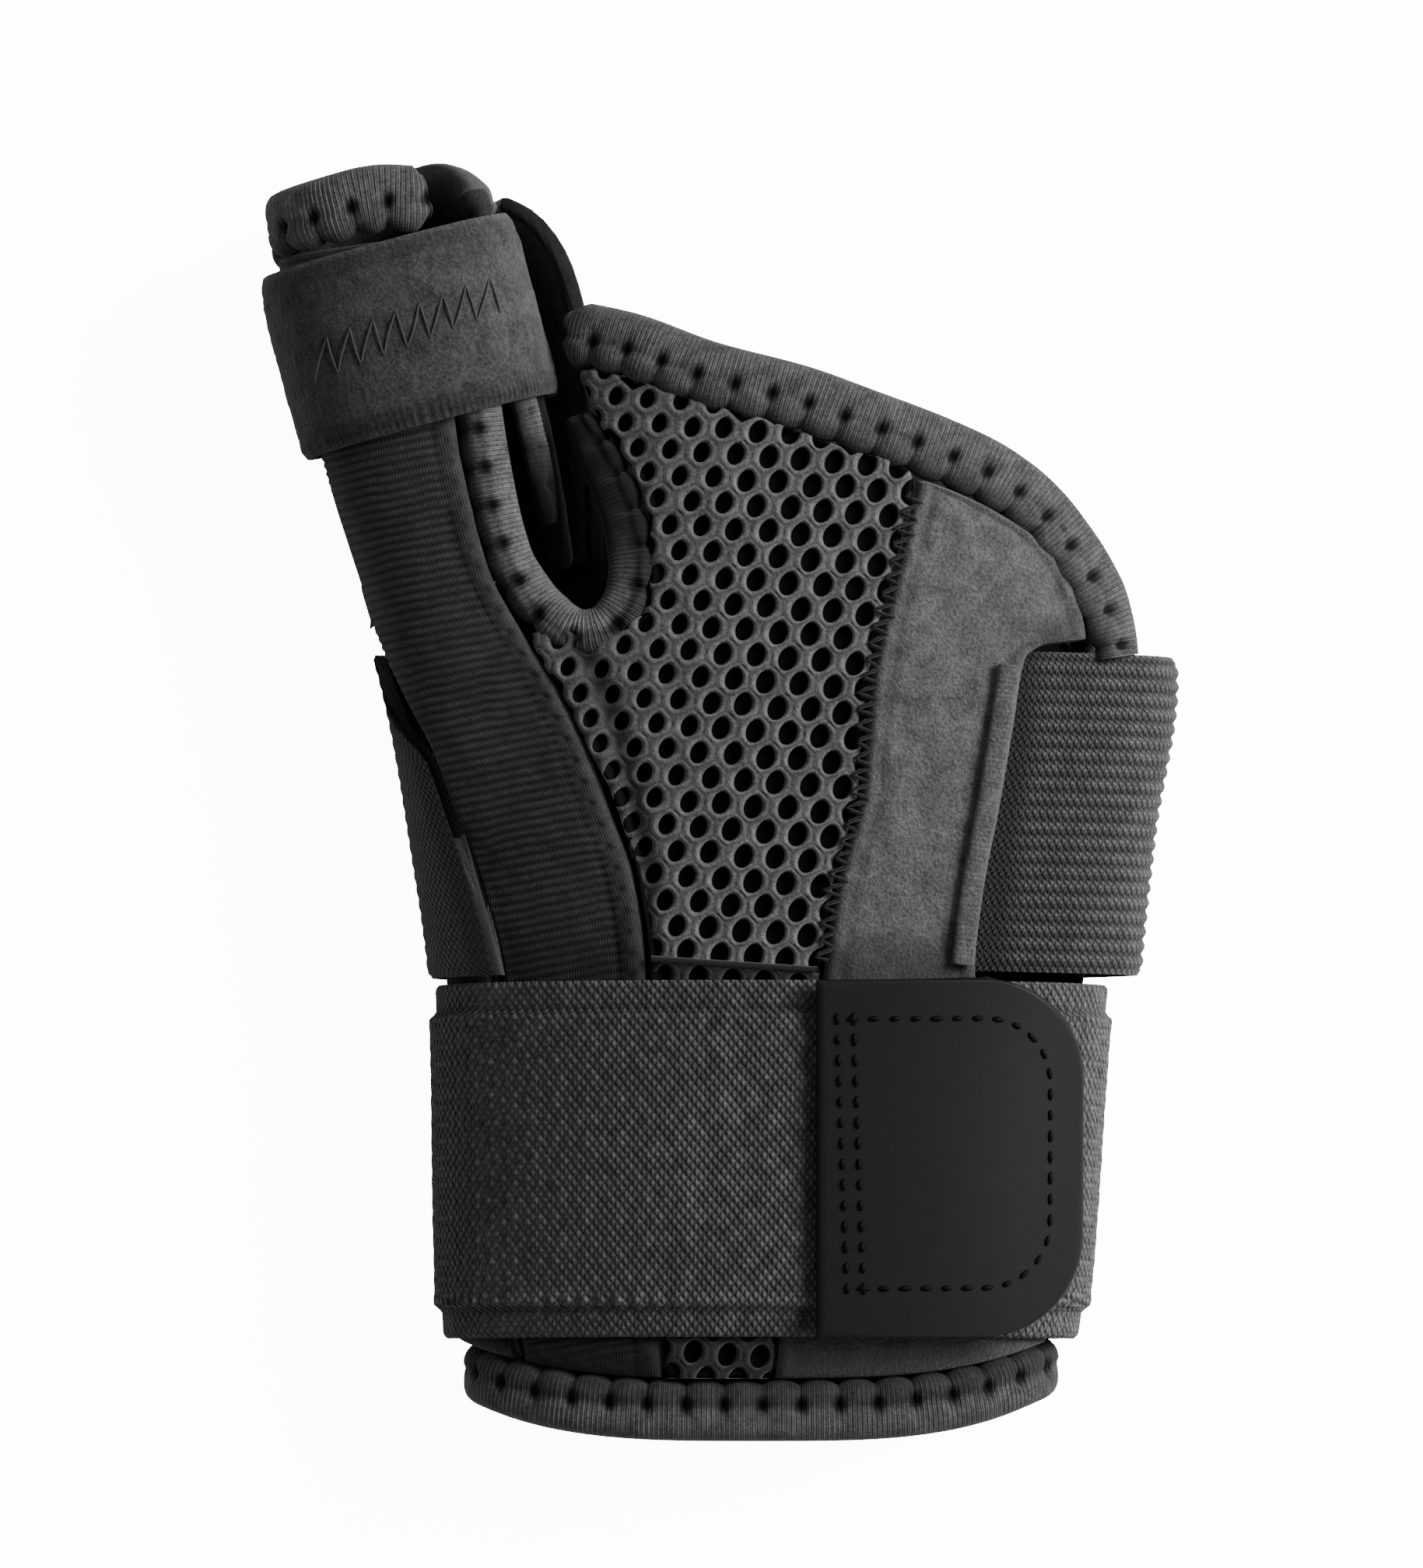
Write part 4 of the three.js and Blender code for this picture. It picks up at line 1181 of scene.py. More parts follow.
def wander(along: Array, size: float, seed: float) -> Array:
    """Return a soft unevenness of about -1 to 1.

    Args:
        along: places along a line.
        size: length of its waves.
        seed: where they start.

    Returns:
        The unevenness at each place.
    """
    turn = along / size
    return (np.sin(turn + seed) + 0.6 * np.sin(2.3 * turn + 2.1 * seed)
            + 0.4 * np.sin(4.7 * turn + 3.3 * seed)) / 1.6


def below_strap(y: Array) -> Array:
    """Return how much light a panel keeps by the lower strap and the cuff."""
    return np.where(y > -50, mix(0.4, 1.0, smooth(-25, -13, y)), mix(0.2, 1.0, smooth(-80, -70, y)))


@dataclass
class StaySleeve:
    """Ribbed sleeve up the thumb side, over the stay."""

    bench: Bench
    rib_pitch: float = 1.25
    rib_height: float = 0.42
    margin: float = 3.2
    stitch_pitch: float = 3.0
    swell: float = 0.35

    def face(self, u: Array, v: Array) -> Array:
        """Return points of the sleeve's outer face.

        Args:
            u: share of the way across.
            v: share of the way up.

        Returns:
            The points.
        """
        limb = self.bench.limb
        columns = {name: values.copy() for name, values in SLEEVE.columns.items()}
        upper = columns["along"] > 0
        seam = limb.thumb(SIDE_SEAM, columns["along"][upper], 0)
        columns["left_x"][upper], columns["left_y"][upper] = seam[:, 0], seam[:, 1]
        at = v * columns["at"][-1]
        ends = {name: monotone(columns["at"], columns[name])(at)
                for name in ("left_x", "left_y", "right_x", "right_y")}
        eased = 1 - np.cos(u * math.pi / 2)
        x = mix(ends["left_x"], ends["right_x"], eased)
        y = mix(ends["left_y"], ends["right_y"], eased)
        lift = limb.cuff_top(limb.hand_angle(x, y)) + SEAM_GAP - columns["left_y"][0]
        return limb.front(x, y + lift * np.maximum(1 - at, 0))

    def relief(self, points: Array, chart: Array, near: Array) -> tuple[Array, Array]:
        """Return the ribs and the stitched margin, with their painted shade.

        Args:
            points: points of the face.
            chart: their map in millimetres.
            near: their distance to the border.

        Returns:
            Height and shade of each point.
        """
        right = chart[:, [-1], 0] - chart[..., 0]
        across, up = points[..., 0], points[..., 1]
        along = up - 0.2 * across + 0.22 * wander(across, 3.0, 1.0) * wander(up, 5.0, 2.0)
        ridge = ripple(along, self.rib_pitch) ** 0.8 * (0.85 + 0.15 * wander(across + up, 1.7, 4.0))
        body = smooth(self.margin - 0.8, self.margin + 0.6, right)
        puff = self.swell * wander(up, 9.0, 1.0) * body
        stitch = dimple(up, right - self.margin * 0.55, self.stitch_pitch, 0.5, 0.45)
        groove = bell(right - self.margin, 0.5)
        height = body * self.rib_height * (ridge - 1) + puff - 0.5 * stitch - 0.35 * groove
        # Painted shade in the rib valleys, the stitch holes and the groove, and above strap and
        # cuff
        shade = mix(1.0, 0.3 + 0.8 * ridge, body) - 0.5 * stitch - 0.35 * groove
        return height, np.clip(shade * below_strap(up), 0.05, 1)

    def build(self) -> None:
        """Build the sleeve."""
        self.bench.pad(Panel(self.face, 44, 700, PANEL_WALL, round_across=0.05), self.relief, 0.7,
                       "stay_sleeve_cloth", "sleeve", "stay_sleeve", "ribbed_cloth")


class FrontFace:
    """A front panel between two sides that are curves by height."""

    def __init__(self, limb: Limb, left: Curve, right: Curve, heights: Array,
                 ease: Callable[[Array], Array]) -> None:
        """Keep the sides.

        Args:
            limb: the form below.
            left: x of the left side by height.
            right: x of the right side by height.
            heights: the heights of the rows.
            ease: how the columns are spread.
        """
        self.limb, self.left, self.right, self.ease = limb, left, right, ease
        self.heights = monotone(np.arange(len(heights), dtype=float), heights)
        self.low, self.last = heights[0], len(heights) - 1

    def __call__(self, u: Array, v: Array) -> Array:
        """Return points of the face.

        Args:
            u: share of the way across.
            v: share of the way up.

        Returns:
            The points.
        """
        share = self.ease(u)
        foot = mix(self.left(self.low), self.right(self.low), share)
        lift = self.limb.cuff_top(self.limb.hand_angle(foot, self.low)) + SEAM_GAP - self.low
        y = self.heights(v * self.last) + lift * np.maximum(1 - v * self.last, 0)
        return self.limb.front(mix(self.left(y), self.right(y), share), y)


@dataclass
class MeshPanel:
    """Spacer mesh of the front: a core darkened with painted shade, below a net of leaning holes.
    """

    bench: Bench
    step: tuple[float, float] = (4.6, -0.35)
    row: tuple[float, float] = (1.5, -3.62)
    hole: tuple[float, float] = (1.32, 1.8)
    lean: float = 20.0
    parts: int = 4
    reach: int = 60
    border: float = 0.2
    crease_width: float = 1.4

    def __post_init__(self) -> None:
        """Read the panel's sides."""
        self.left, self.right = MESH.curve("y", "left_x"), MESH.curve("y", "right_x")

    def corners(self) -> Array:
        """Return the corners of the cell round a hole, where three cells meet.

        Returns:
            The six corners, in order.
        """
        first, second = np.array(self.step), np.array(self.row)
        ways = [first, second, second - first]
        ways += [-way for way in ways]

        def middle(a: Array, b: Array) -> Array:
            """Return the point as far from 0 as from a and b."""
            return np.linalg.solve(2 * np.stack([a, b]), [a @ a, b @ b])

        return np.array([middle(ways[k], ways[(k + 1) % 6]) for k in range(6)])

    def clamp(self, points: Array) -> Array:
        """Return points moved inside the panel's outline.

        Args:
            points: points of the plan.

        Returns:
            The points, inside.
        """
        low, high = -CUFF_REST + SEAM_GAP + self.border, MESH.columns["y"][-1] - self.border
        y = np.clip(points[..., 1], low, high)
        x = np.clip(points[..., 0], self.left(y) + 0.15, self.right(y) - 0.15)
        return np.stack([x, y], axis=-1)

    def lay(self, plan: Array, drop: float) -> Array:
        """Return points a drop below the face, lower at the sides and in the crease.

        Args:
            plan: points of the plan.
            drop: how far below the face.

        Returns:
            The points.
        """
        x, y = plan[..., 0], plan[..., 1]
        radius = PANEL_WALL / 2
        side = np.minimum(x - self.left(y), self.right(y) - x)
        fall = radius - np.sqrt(radius ** 2 - np.clip(radius - side, 0, radius) ** 2)
        sunk = drop + fall * 0.8 + self.creased(x, y, self.crease_width)
        return point(x, y, self.bench.limb.front_height(x, y) - sunk)

    def net(self) -> Shape:
        """Return the net: rings round every hole, joined along the cells' borders.

        Returns:
            The mesh.
        """
        corners = self.corners()
        rim = np.concatenate([mix(corners[k], corners[(k + 1) % 6], t)[None]
                              for k in range(6) for t in np.arange(self.parts) / self.parts])
        angle = np.arctan2(rim[:, 1], rim[:, 0])
        local = angle - (90 - self.lean) * DEGREE
        short, long = self.hole
        radius = 1 / np.sqrt((np.cos(local) / long) ** 2 + (np.sin(local) / short) ** 2)
        hole = np.stack([np.cos(angle), np.sin(angle)], axis=-1) * radius[:, None]
        number = np.arange(-self.reach, self.reach + 1)
        first, second = np.meshgrid(number, number)
        centres = (first.reshape(-1, 1) * np.array(self.step)
                   + second.reshape(-1, 1) * np.array(self.row))
        kept = centres[np.abs(centres - self.clamp(centres)).max(axis=-1) < 1.6]
        thin = 0.78 + 0.22 * smooth(-20, 8, kept[:, :1, None] - 0.12 * kept[:, 1:, None])
        drift = 0.12 * np.stack([np.sin(kept[:, 0] * 5.1 + kept[:, 1]),
                                 np.cos(kept[:, 1] * 4.3 + kept[:, 0])], axis=-1)[:, None]
        # Painted highlights and shade along the twisted strands of each cell
        twist_shade = 0.12 * np.cos(3 * local) + 0.1 * np.sin(2 * local + kept[:, 1:] * 0.9)
        shape, skins, numbers = Shape(), [], []
        for share, size, drop, shade, uneven in zip(*CELL.columns.values()):
            plan = mix(rim, hole * thin * size, share) + kept[:, None] + drift * share
            skins.append(self.lay(self.clamp(plan), drop))
            light = (shade + uneven * twist_shade) * self.dim(skins[-1])
            numbers.append(shape.add_points(skins[-1], np.clip(light, 0.02, 1.3)))
        keys = np.round(skins[0].reshape(-1, 3)[:, :2] / 0.002).astype(int)
        _, owner, back = np.unique(keys, axis=0, return_index=True, return_inverse=True)
        numbers[0] = numbers[0].reshape(-1)[owner[back.reshape(-1)]].reshape(numbers[0].shape)
        for outer, inner, a, b in zip(numbers, numbers[1:], skins, skins[1:]):
            around = [np.roll(grid, -1, axis=1) for grid in (outer, inner, a, b)]
            shape.add_faces(np.stack([outer, around[0], around[1], inner], axis=-1),
                            np.stack([a, around[2], around[3], b], axis=-2)[..., :2])
        return shape

    @staticmethod
    def seam(x: Array) -> Array:
        """Return y of the seam across the panel, just over the lower strap."""
        return -21.6 - 0.066 * (np.asarray(x) + 10.8)

    def dim(self, points: Array) -> Array:
        """Return how much light the net keeps: less by its seam, the cuff, the crease and to the
        left.

        Args:
            points: points of the net.

        Returns:
            The share of light at each point.
        """
        x, y = points[..., 0], points[..., 1]
        low = mix(0.12, 1.0, smooth(-0.9, 0.3, y - self.seam(x)))
        foot = 0.3 * smooth(-80, -74, y) * (1 - smooth(-60, -50, y))
        # Painted shade in the crease, and towards the left side, away from the key lamp
        fold = 1 - 0.75 * self.creased(x, y, 1.5)
        left = 0.72 + 0.28 * smooth(-22, 2, x - 0.12 * y)
        return np.maximum(low, foot) * fold * left

    @staticmethod
    def crease(y: Array) -> Array:
        """Return x of the panel's lengthwise crease."""
        y = np.clip(y, -25, 26)
        return -12.0 - 0.21 * y - 0.006 * y ** 2

    def creased(self, x: Array, y: Array, width: float) -> Array:
        """Return 1 in the crease and less beside it, down to 0 at its upper end."""
        return bell(x - self.crease(y), width) * (1 - smooth(20, 26, y))

    def relief(self, points: Array, chart: Array, near: Array) -> tuple[Array, Array]:
        """Return the core's crease, and painted shade over the whole core."""
        x, y = points[..., 0], points[..., 1]
        return -bell(x - self.crease(y), self.crease_width), np.full(x.shape, 0.6)

    def build(self) -> None:
        """Build the panel, the zigzag of its right seam and the seam over the strap."""
        bench = self.bench
        face = FrontFace(bench.limb, self.left, self.right, MESH.columns["y"], lambda u: u)
        core = Panel(face, 40, 160, PANEL_WALL, round_across=0.05, round_along=0.015)
        bench.pad(core, self.relief, 0.5, "mesh_core", "core", "mesh_panel", "spacer_mesh",
                  drop=MESH_DEPTH)
        net = self.net().build("mesh_net", bench.wardrobe["net"], bench.shift)
        bench.adopt(net, "spacer_mesh")
        y = np.arange(-22.0, 44.0, 0.5)
        x = self.right(y) + 0.25 + (1.2 + 0.4 * wander(y, 2.0, 1.0)) * np.sin(math.pi * y / 1.15)
        thread(bench, "mesh_zigzag", bench.limb.front(x, y) + [0, 0, 0.15], 0.3, "net",
               "spacer_mesh")
        x = np.linspace(self.left(-21.0) + 0.6, self.right(-23.0) - 0.6, 90)
        thread(bench, "mesh_seam", bench.limb.front(x, self.seam(x)) + [0, 0, 0.2], 0.42, "net",
               "spacer_mesh")


@dataclass
class PalmPanel:
    """Brushed palm panel, with the folded edge on its free right border."""

    bench: Bench

    def relief(self, points: Array, chart: Array, near: Array) -> tuple[Array, Array]:
        """Return soft unevenness and a stitched dip beside the seam, with painted shade.

        Args:
            points: points of the face.
            chart: their map in millimetres.
            near: their distance to the border.

        Returns:
            Height and shade of each point.
        """
        x, y = points[..., 0], points[..., 1]
        height = 0.22 * wander(x + 0.5 * y, 3.1, 2.0) * wander(y - 0.4 * x, 4.2, 5.0)
        dip = bell(near - 2.6, 0.8)
        patch = 0.86 + 0.14 * wander(x * 0.8 + y, 2.4, 3.0) * wander(y * 0.9 - x, 3.0, 1.0)
        # Painted shade in the dip, at the border, by the notch and above the strap and the cuff
        shade = patch - 0.25 * dip - 0.45 * bell(near, 0.9)
        notch_shade = bell(x - 48, 6) * bell(y - 23, 3.5)
        shade = shade * below_strap(y) * (1 - 0.6 * notch_shade)
        return height - 0.25 * dip, np.clip(shade, 0.05, 1)

    def build(self) -> None:
        """Build the panel and its piping."""
        seam = MESH.curve("y", "right_x")
        face = FrontFace(self.bench.limb, lambda y: seam(y) + SEAM_GAP, PALM.curve("y", "right_x"),
                         PALM.columns["y"], lambda u: np.sin(u * math.pi / 2))
        panel = Panel(face, 68, 320, PANEL_WALL, round_across=0.04, round_along=0.015)
        self.bench.pad(panel, self.relief, 0.7, "palm_velour", "velour", "palm_panel",
                       "brushed_cloth")
        path = PlanPath(self.bench.limb, PIPING_EDGE, 0.3).sweep()
        fold = Binding(path, PIPING_WIDTH, LAYER_GAP + PIPING_WALL, PIPING_WALL, side=-1,
                       stitches=0.0)
        self.bench.tape(fold, "palm_piping_fold", "palm_piping", "velour", "brushed_cloth")


def centripetal(points: Array, count: int) -> Array:
    """Return points at even lengths of the smooth curve through a few.

    Args:
        points: what the curve passes through.
        count: how many points to return.

    Returns:
        The points.
    """
    ends = np.concatenate([2 * points[:1] - points[1:2], points, 2 * points[-1:] - points[-2:-1]])
    knots = lengths(ends, 0.5)
    line = []
    for i in range(1, len(ends) - 2):
        t = np.linspace(knots[i], knots[i + 1], 40, endpoint=i == len(ends) - 3)[:, None]

        def blend(a: Array, b: Array, low: int, high: int) -> Array:
            """Return the mix of two curves between two knots."""
            return ((knots[high] - t) * a + (t - knots[low]) * b) / (knots[high] - knots[low])

        first = blend(ends[i - 1], ends[i], i - 1, i)
        second = blend(ends[i], ends[i + 1], i, i + 1)
        third = blend(ends[i + 1], ends[i + 2], i + 1, i + 2)
        line.append(blend(blend(first, second, i - 1, i + 1), blend(second, third, i, i + 2),
                          i, i + 1))
    dense = np.concatenate(line)
    walked = lengths(dense)
    even = np.linspace(0, walked[-1], count)
    return np.stack([np.interp(even, walked, dense[:, k]) for k in range(dense.shape[1])], axis=-1)


def frame_of(points: Array, normals: Array, closed: bool = False) -> Sweep:
    """Return a sweep along points with given directions off the face.

    Args:
        points: points of the path.
        normals: the directions.
        closed: whether the path is a ring.

    Returns:
        The sweep.
    """
    if closed:
        ahead = np.roll(points, -1, axis=0) - np.roll(points, 1, axis=0)
    else:
        ahead = np.gradient(points, axis=0)
    return Sweep(points, unit(np.cross(normals, ahead)), normals, closed)


class PlanPath:
    """A path on the front or the back face over the curve of a table."""

    def __init__(self, limb: Limb, table: Table, step: float, facing: int = 1) -> None:
        """Walk the curve.

        Args:
            limb: the form below.
            table: points of the plan.
            step: length of each step in millimetres.
            facing: 1 for the front face, -1 for the back.
        """
        few = np.stack([table.columns["x"], table.columns["y"]], axis=-1)
        plan = centripetal(few, int(lengths(few)[-1] / step) + 1)
        height = limb.front_height if facing > 0 else limb.back_height
        reach = 0.6
        x, y = plan[:, 0], plan[:, 1]
        along_x = point(2 * reach, 0, height(x + reach, y) - height(x - reach, y))
        along_y = point(0, 2 * reach, height(x, y + reach) - height(x, y - reach))
        self.points = point(x, y, height(x, y))
        self.normals = unit(np.cross(along_x, along_y)) * facing

    def sweep(self) -> Sweep:
        """Return the path as a sweep."""
        return frame_of(self.points, self.normals)


def tube_path(limb: Limb, angle: Array, along: Array) -> Sweep:
    """Return a path round the thumb tube as a sweep.

    Args:
        limb: the form below.
        angle: angle of each place.
        along: how far along the tube it is.

    Returns:
        The path.
    """
    turn = 0.02
    around = limb.thumb(angle + turn, along, 0) - limb.thumb(angle - turn, along, 0)
    onward = limb.thumb(angle, along + 1, 0) - limb.thumb(angle, along - 1, 0)
    return frame_of(limb.thumb(angle, along, 0), unit(np.cross(onward, around)))


@dataclass
class Binding:
    """A folded tape along an edge, with its row of stitches and the lumps between them."""

    path: Sweep
    width: float
    top: float
    thick: float
    side: int = 1
    stitches: float = 1.0
    corners: int = 21
    power: float = 3.4
    narrow: Array | float = 1.0
    line: float = 0.22
    # Painted shade on the loose, stitched side (deep), painted light and shade along the tape
    # (tone)
    deep: float = 0.15
    tone: Array | float = 1.0
    rib: float = 0.1
    rib_pitch: float = 0.7

    def section(self) -> tuple[Array, Array]:
        """Return the section at each place of the path, and its shade.

        Returns:
            Across and up of each corner, and the corner's shade.
        """
        upper = np.linspace(0.985, -0.985, self.corners)
        lower = np.array([-1.0, -0.96, -0.5, 0.0, 0.5, 0.96, 1.0])
        across = np.concatenate([upper, lower])
        rise = (1 - np.abs(across) ** self.power) ** (1 / self.power)
        rise[len(upper):] *= -0.85
        rise[:len(upper)] -= 0.25 * upper ** 4
        walked = lengths(self.path.centre)
        wave = (walked % STITCH_PITCH) / STITCH_PITCH
        lump = np.abs(np.sin(math.pi * wave)) ** 0.7
        loose = np.clip(self.side * across, 0, 1)[None]
        fold = self.stitches * loose ** 2 * (lump[:, None] - 0.45) * 0.95
        half = self.width / 2 * np.broadcast_to(self.narrow, walked.shape)[:, None]
        x = half * across[None] + self.side * fold
        y = self.top - self.thick / 2 + rise[None] * self.thick / 2
        facing = np.clip(rise, 0, 1)[None]
        line = self.line * self.side * half
        hole = self.stitches * dimple(walked[:, None], x - line, STITCH_PITCH, 0.8, 1.05) * facing
        ridge = ripple(walked, self.rib_pitch, 0.6 * wander(walked, 2.1, 3.0))
        soft = wander(walked, 4.3, self.width)[:, None]
        puff = self.stitches * 0.5 * (lump[:, None] - 0.5) * smooth(0, 0.8, self.side * (x - line))
        y = y - 1.15 * hole + facing * (self.rib * ridge[:, None] + puff + 0.12 * soft)
        valley = bell(x - line, 0.55) * facing * self.stitches
        y = y - 0.16 * valley
        shade = 0.58 + 0.42 * ridge[:, None] * facing - 0.12 * valley
        # Painted shade on the loose side and the underside, and painted light and shade along the
        # tape
        shade = shade * (1 - self.deep * smooth(0, 0.5, self.side * across))[None] - 0.9 * hole
        shade = shade * np.broadcast_to(self.tone, walked.shape)[:, None]
        edge = np.where(rise < 0, 0.45, 1.0)[None]
        return np.stack([x, y], axis=-1), np.clip(shade * edge, 0.03, 1.3)


class Threads:
    """Geometry trees that turn a drawn line into thread."""

    @staticmethod
    def _open(name: str, **inputs: tuple[str, object]) -> Ends:
        """Start a tree that has a shape, a material and its own inputs.

        Args:
            name: its name.
            inputs: type and first value of each input.

        Returns:
            Its nodes, its input node and its output node.
        """
        return open_tree(name, "GeometryNodeTree",
                         {"Geometry": (GEOMETRY, None), **inputs, "Material": (MATERIAL, None)},
                         {"Geometry": GEOMETRY})

    @staticmethod
    def _close(nodes: Nodes, shape: bpy.types.NodeSocket, start: bpy.types.Node,
               end: bpy.types.Node) -> bpy.types.NodeTree:
        """Smooth the shape, realize it, give it its material and return the tree.

        Args:
            nodes: the tree's nodes.
            shape: the finished shape.
            start: the input node.
            end: the output node.

        Returns:
            The tree.
        """
        rounded_off = nodes.add("GeometryNodeSetShadeSmooth", {0: shape})
        real = nodes.add("GeometryNodeRealizeInstances", {0: rounded_off.outputs[0]})
        dressed = nodes.add("GeometryNodeSetMaterial", {
            0: real.outputs[0], "Material": start.outputs["Material"]})
        nodes.tree.links.new(dressed.outputs[0], end.inputs[0])
        return nodes.tree

    @classmethod
    @functools.cache
    def line(cls) -> bpy.types.NodeTree:
        """Make the tree of a running thread, a round tube along the line.

        Returns:
            The tree.
        """
        nodes, start, end = cls._open("thread_line", Radius=(FLOAT, 0.0003))
        curve = nodes.add("GeometryNodeMeshToCurve", {0: start.outputs["Geometry"]})
        ring = nodes.add("GeometryNodeCurvePrimitiveCircle", {
            "Resolution": 8, "Radius": start.outputs["Radius"]})
        tube = nodes.add("GeometryNodeCurveToMesh", {
            "Curve": curve.outputs[0], "Profile Curve": ring.outputs[0], "Fill Caps": True})
        return cls._close(nodes, tube.outputs[0], start, end)

    @classmethod
    @functools.cache
    def run(cls) -> bpy.types.NodeTree:
        """Make the tree of a running stitch: short rounded threads at a pitch along the line.

        Returns:
            The tree.
        """
        nodes, start, end = cls._open(
            "stitch_run", Radius=(FLOAT, 0.0002), Stitch=(FLOAT, 0.0015), Pitch=(FLOAT, 0.003),
            Seed=("NodeSocketInt", 7))
        curve = nodes.add("GeometryNodeMeshToCurve", {0: start.outputs["Geometry"]})
        dots = nodes.add("GeometryNodeResampleCurve", {
            "Curve": curve.outputs[0], "Length": start.outputs["Pitch"]}, mode="LENGTH")
        tangent = nodes.add("GeometryNodeInputTangent")
        turn = nodes.add("FunctionNodeAlignRotationToVector", {
            "Vector": tangent.outputs[0]}, axis="X")
        ball = nodes.add("GeometryNodeMeshUVSphere", {"Segments": 8, "Rings": 6, "Radius": 0.5})
        uneven = nodes.add("FunctionNodeRandomValue", {
            2: 0.85, 3: 1.12, "Seed": start.outputs["Seed"]}, data_type="FLOAT")
        long = nodes.math("MULTIPLY", start.outputs["Stitch"], uneven.outputs[1])
        wide = nodes.math("MULTIPLY", start.outputs["Radius"], 2.0)
        size = nodes.add("ShaderNodeCombineXYZ", {"X": long, "Y": wide, "Z": wide})
        placed = nodes.add("GeometryNodeInstanceOnPoints", {
            "Points": dots.outputs[0], "Instance": ball.outputs[0],
            "Rotation": turn.outputs[0], "Scale": size.outputs[0]})
        real = nodes.add("GeometryNodeRealizeInstances", {0: placed.outputs[0]})
        return cls._close(nodes, real.outputs[0], start, end)

    @staticmethod
    def draw(bench: Bench, name: str, lines: Sequence[Array], tree: bpy.types.NodeTree,
             inputs: dict[str, object]) -> bpy.types.Object:
        """Draw lines, run a tree on them and keep the outcome as a plain mesh.

        Args:
            bench: the bench.
            name: the piece's name.
            lines: points of each line, in millimetres of the design.
            tree: the geometry tree.
            inputs: its inputs by name.

        Returns:
            The piece.
        """
        mesh = bpy.data.meshes.new(name + "_line")
        points, edges = [], []
        for line in lines:
            edges += [(len(points) + k, len(points) + k + 1) for k in range(len(line) - 1)]
            points += [tuple(p) for p in (line + bench.shift) * MM]
        mesh.from_pydata(points, edges, [])
        source = link(bpy.data.objects.new(name + "_line", mesh))
        modifier = source.modifiers.new("thread", "NODES")
        modifier.node_group = tree
        for item in tree.interface.items_tree:
            if item.item_type == "SOCKET" and item.in_out == "INPUT" and item.name in inputs:
                modifier[item.identifier] = inputs[item.name]
        source.update_tag()
        seen = source.evaluated_get(bpy.context.evaluated_depsgraph_get())
        made = bpy.data.meshes.new_from_object(seen)
        made.name = name
        bpy.data.objects.remove(source)
        bpy.data.meshes.remove(mesh)
        return link(bpy.data.objects.new(name, made))


def thread(bench: Bench, name: str, line: Array, radius: float, look: str, slot: str) -> None:
    """Lay a running thread along a line.

    Args:
        bench: the bench.
        name: the piece's name.
        line: points of the line.
        radius: radius in millimetres.
        look: finish of the thread.
        slot: handed on to adopt.
    """
    obj = Threads.draw(bench, name, [line], Threads.line(), {
        "Radius": radius * MM, "Material": bench.wardrobe[look]})
    bench.adopt(obj, slot)


def stitches(bench: Bench, name: str, lines: Sequence[Array], size: tuple[float, float, float],
             look: str, slot: str) -> None:
    """Sew running stitches along lines.

    Args:
        bench: the bench.
        name: the piece's name.
        lines: the lines.
        size: radius, stitch length and pitch in millimetres.
        look: finish of the thread.
        slot: handed on to adopt.
    """
    radius, stitch, pitch = size
    obj = Threads.draw(bench, name, lines, Threads.run(), {
        "Radius": radius * MM, "Stitch": stitch * MM, "Pitch": pitch * MM, "Seed": 7,
        "Material": bench.wardrobe[look]})
    bench.adopt(obj, slot)


@dataclass
class BackPanel:
    """Plain padded back of hand and forearm."""

    bench: Bench

    def face(self, u: Array, v: Array) -> Array:
        """Return points of the back's outer face.

        Args:
            u: share of the way across.
            v: share of the way up.

        Returns:
            The points.
        """
        limb, rows = self.bench.limb, BACK.columns
        left_angle = limb.hand_angle(rows["left_x"], rows["left_y"], 0, True)
        left_angle = rows["left_face"] * left_angle - (rows["left_face"] + 1) * math.pi
        right_angle = -limb.hand_angle(rows["right_x"], rows["right_y"], 0, True)
        at = v * rows["at"][-1]
        angle = mix(monotone(rows["at"], right_angle)(at), monotone(rows["at"], left_angle)(at), u)
        y = mix(BACK.curve("at", "right_y")(at), BACK.curve("at", "left_y")(at), u)
        lift = limb.cuff_top(angle) + SEAM_GAP - rows["left_y"][0]
        return limb.hand(angle, y + lift * np.maximum(1 - at, 0), 0, True)

    def relief(self, points: Array, chart: Array, near: Array) -> tuple[Array, Array]:
        """Return soft unevenness and a stitched line round the border.

        Args:
            points: points of the face.
            chart: their map in millimetres.
            near: their distance to the border.

        Returns:
            Height and shade of each point.
        """
        u, v = chart[..., 0], chart[..., 1]
        line = bell(near - 4.0, 0.7)
        height = 0.2 * wander(u + 0.3 * v, 6.0, 1.0) * wander(v, 7.0, 3.0) - 0.3 * line
        return height, 0.9 - 0.35 * line

    def build(self) -> None:
        """Build the back."""
        panel = Panel(self.face, 140, 150, PANEL_WALL, round_across=0.02, round_along=0.02)
        self.bench.pad(panel, self.relief, 0.6, "back_cloth_panel", "back", "back_panel",
                       "back_cloth")


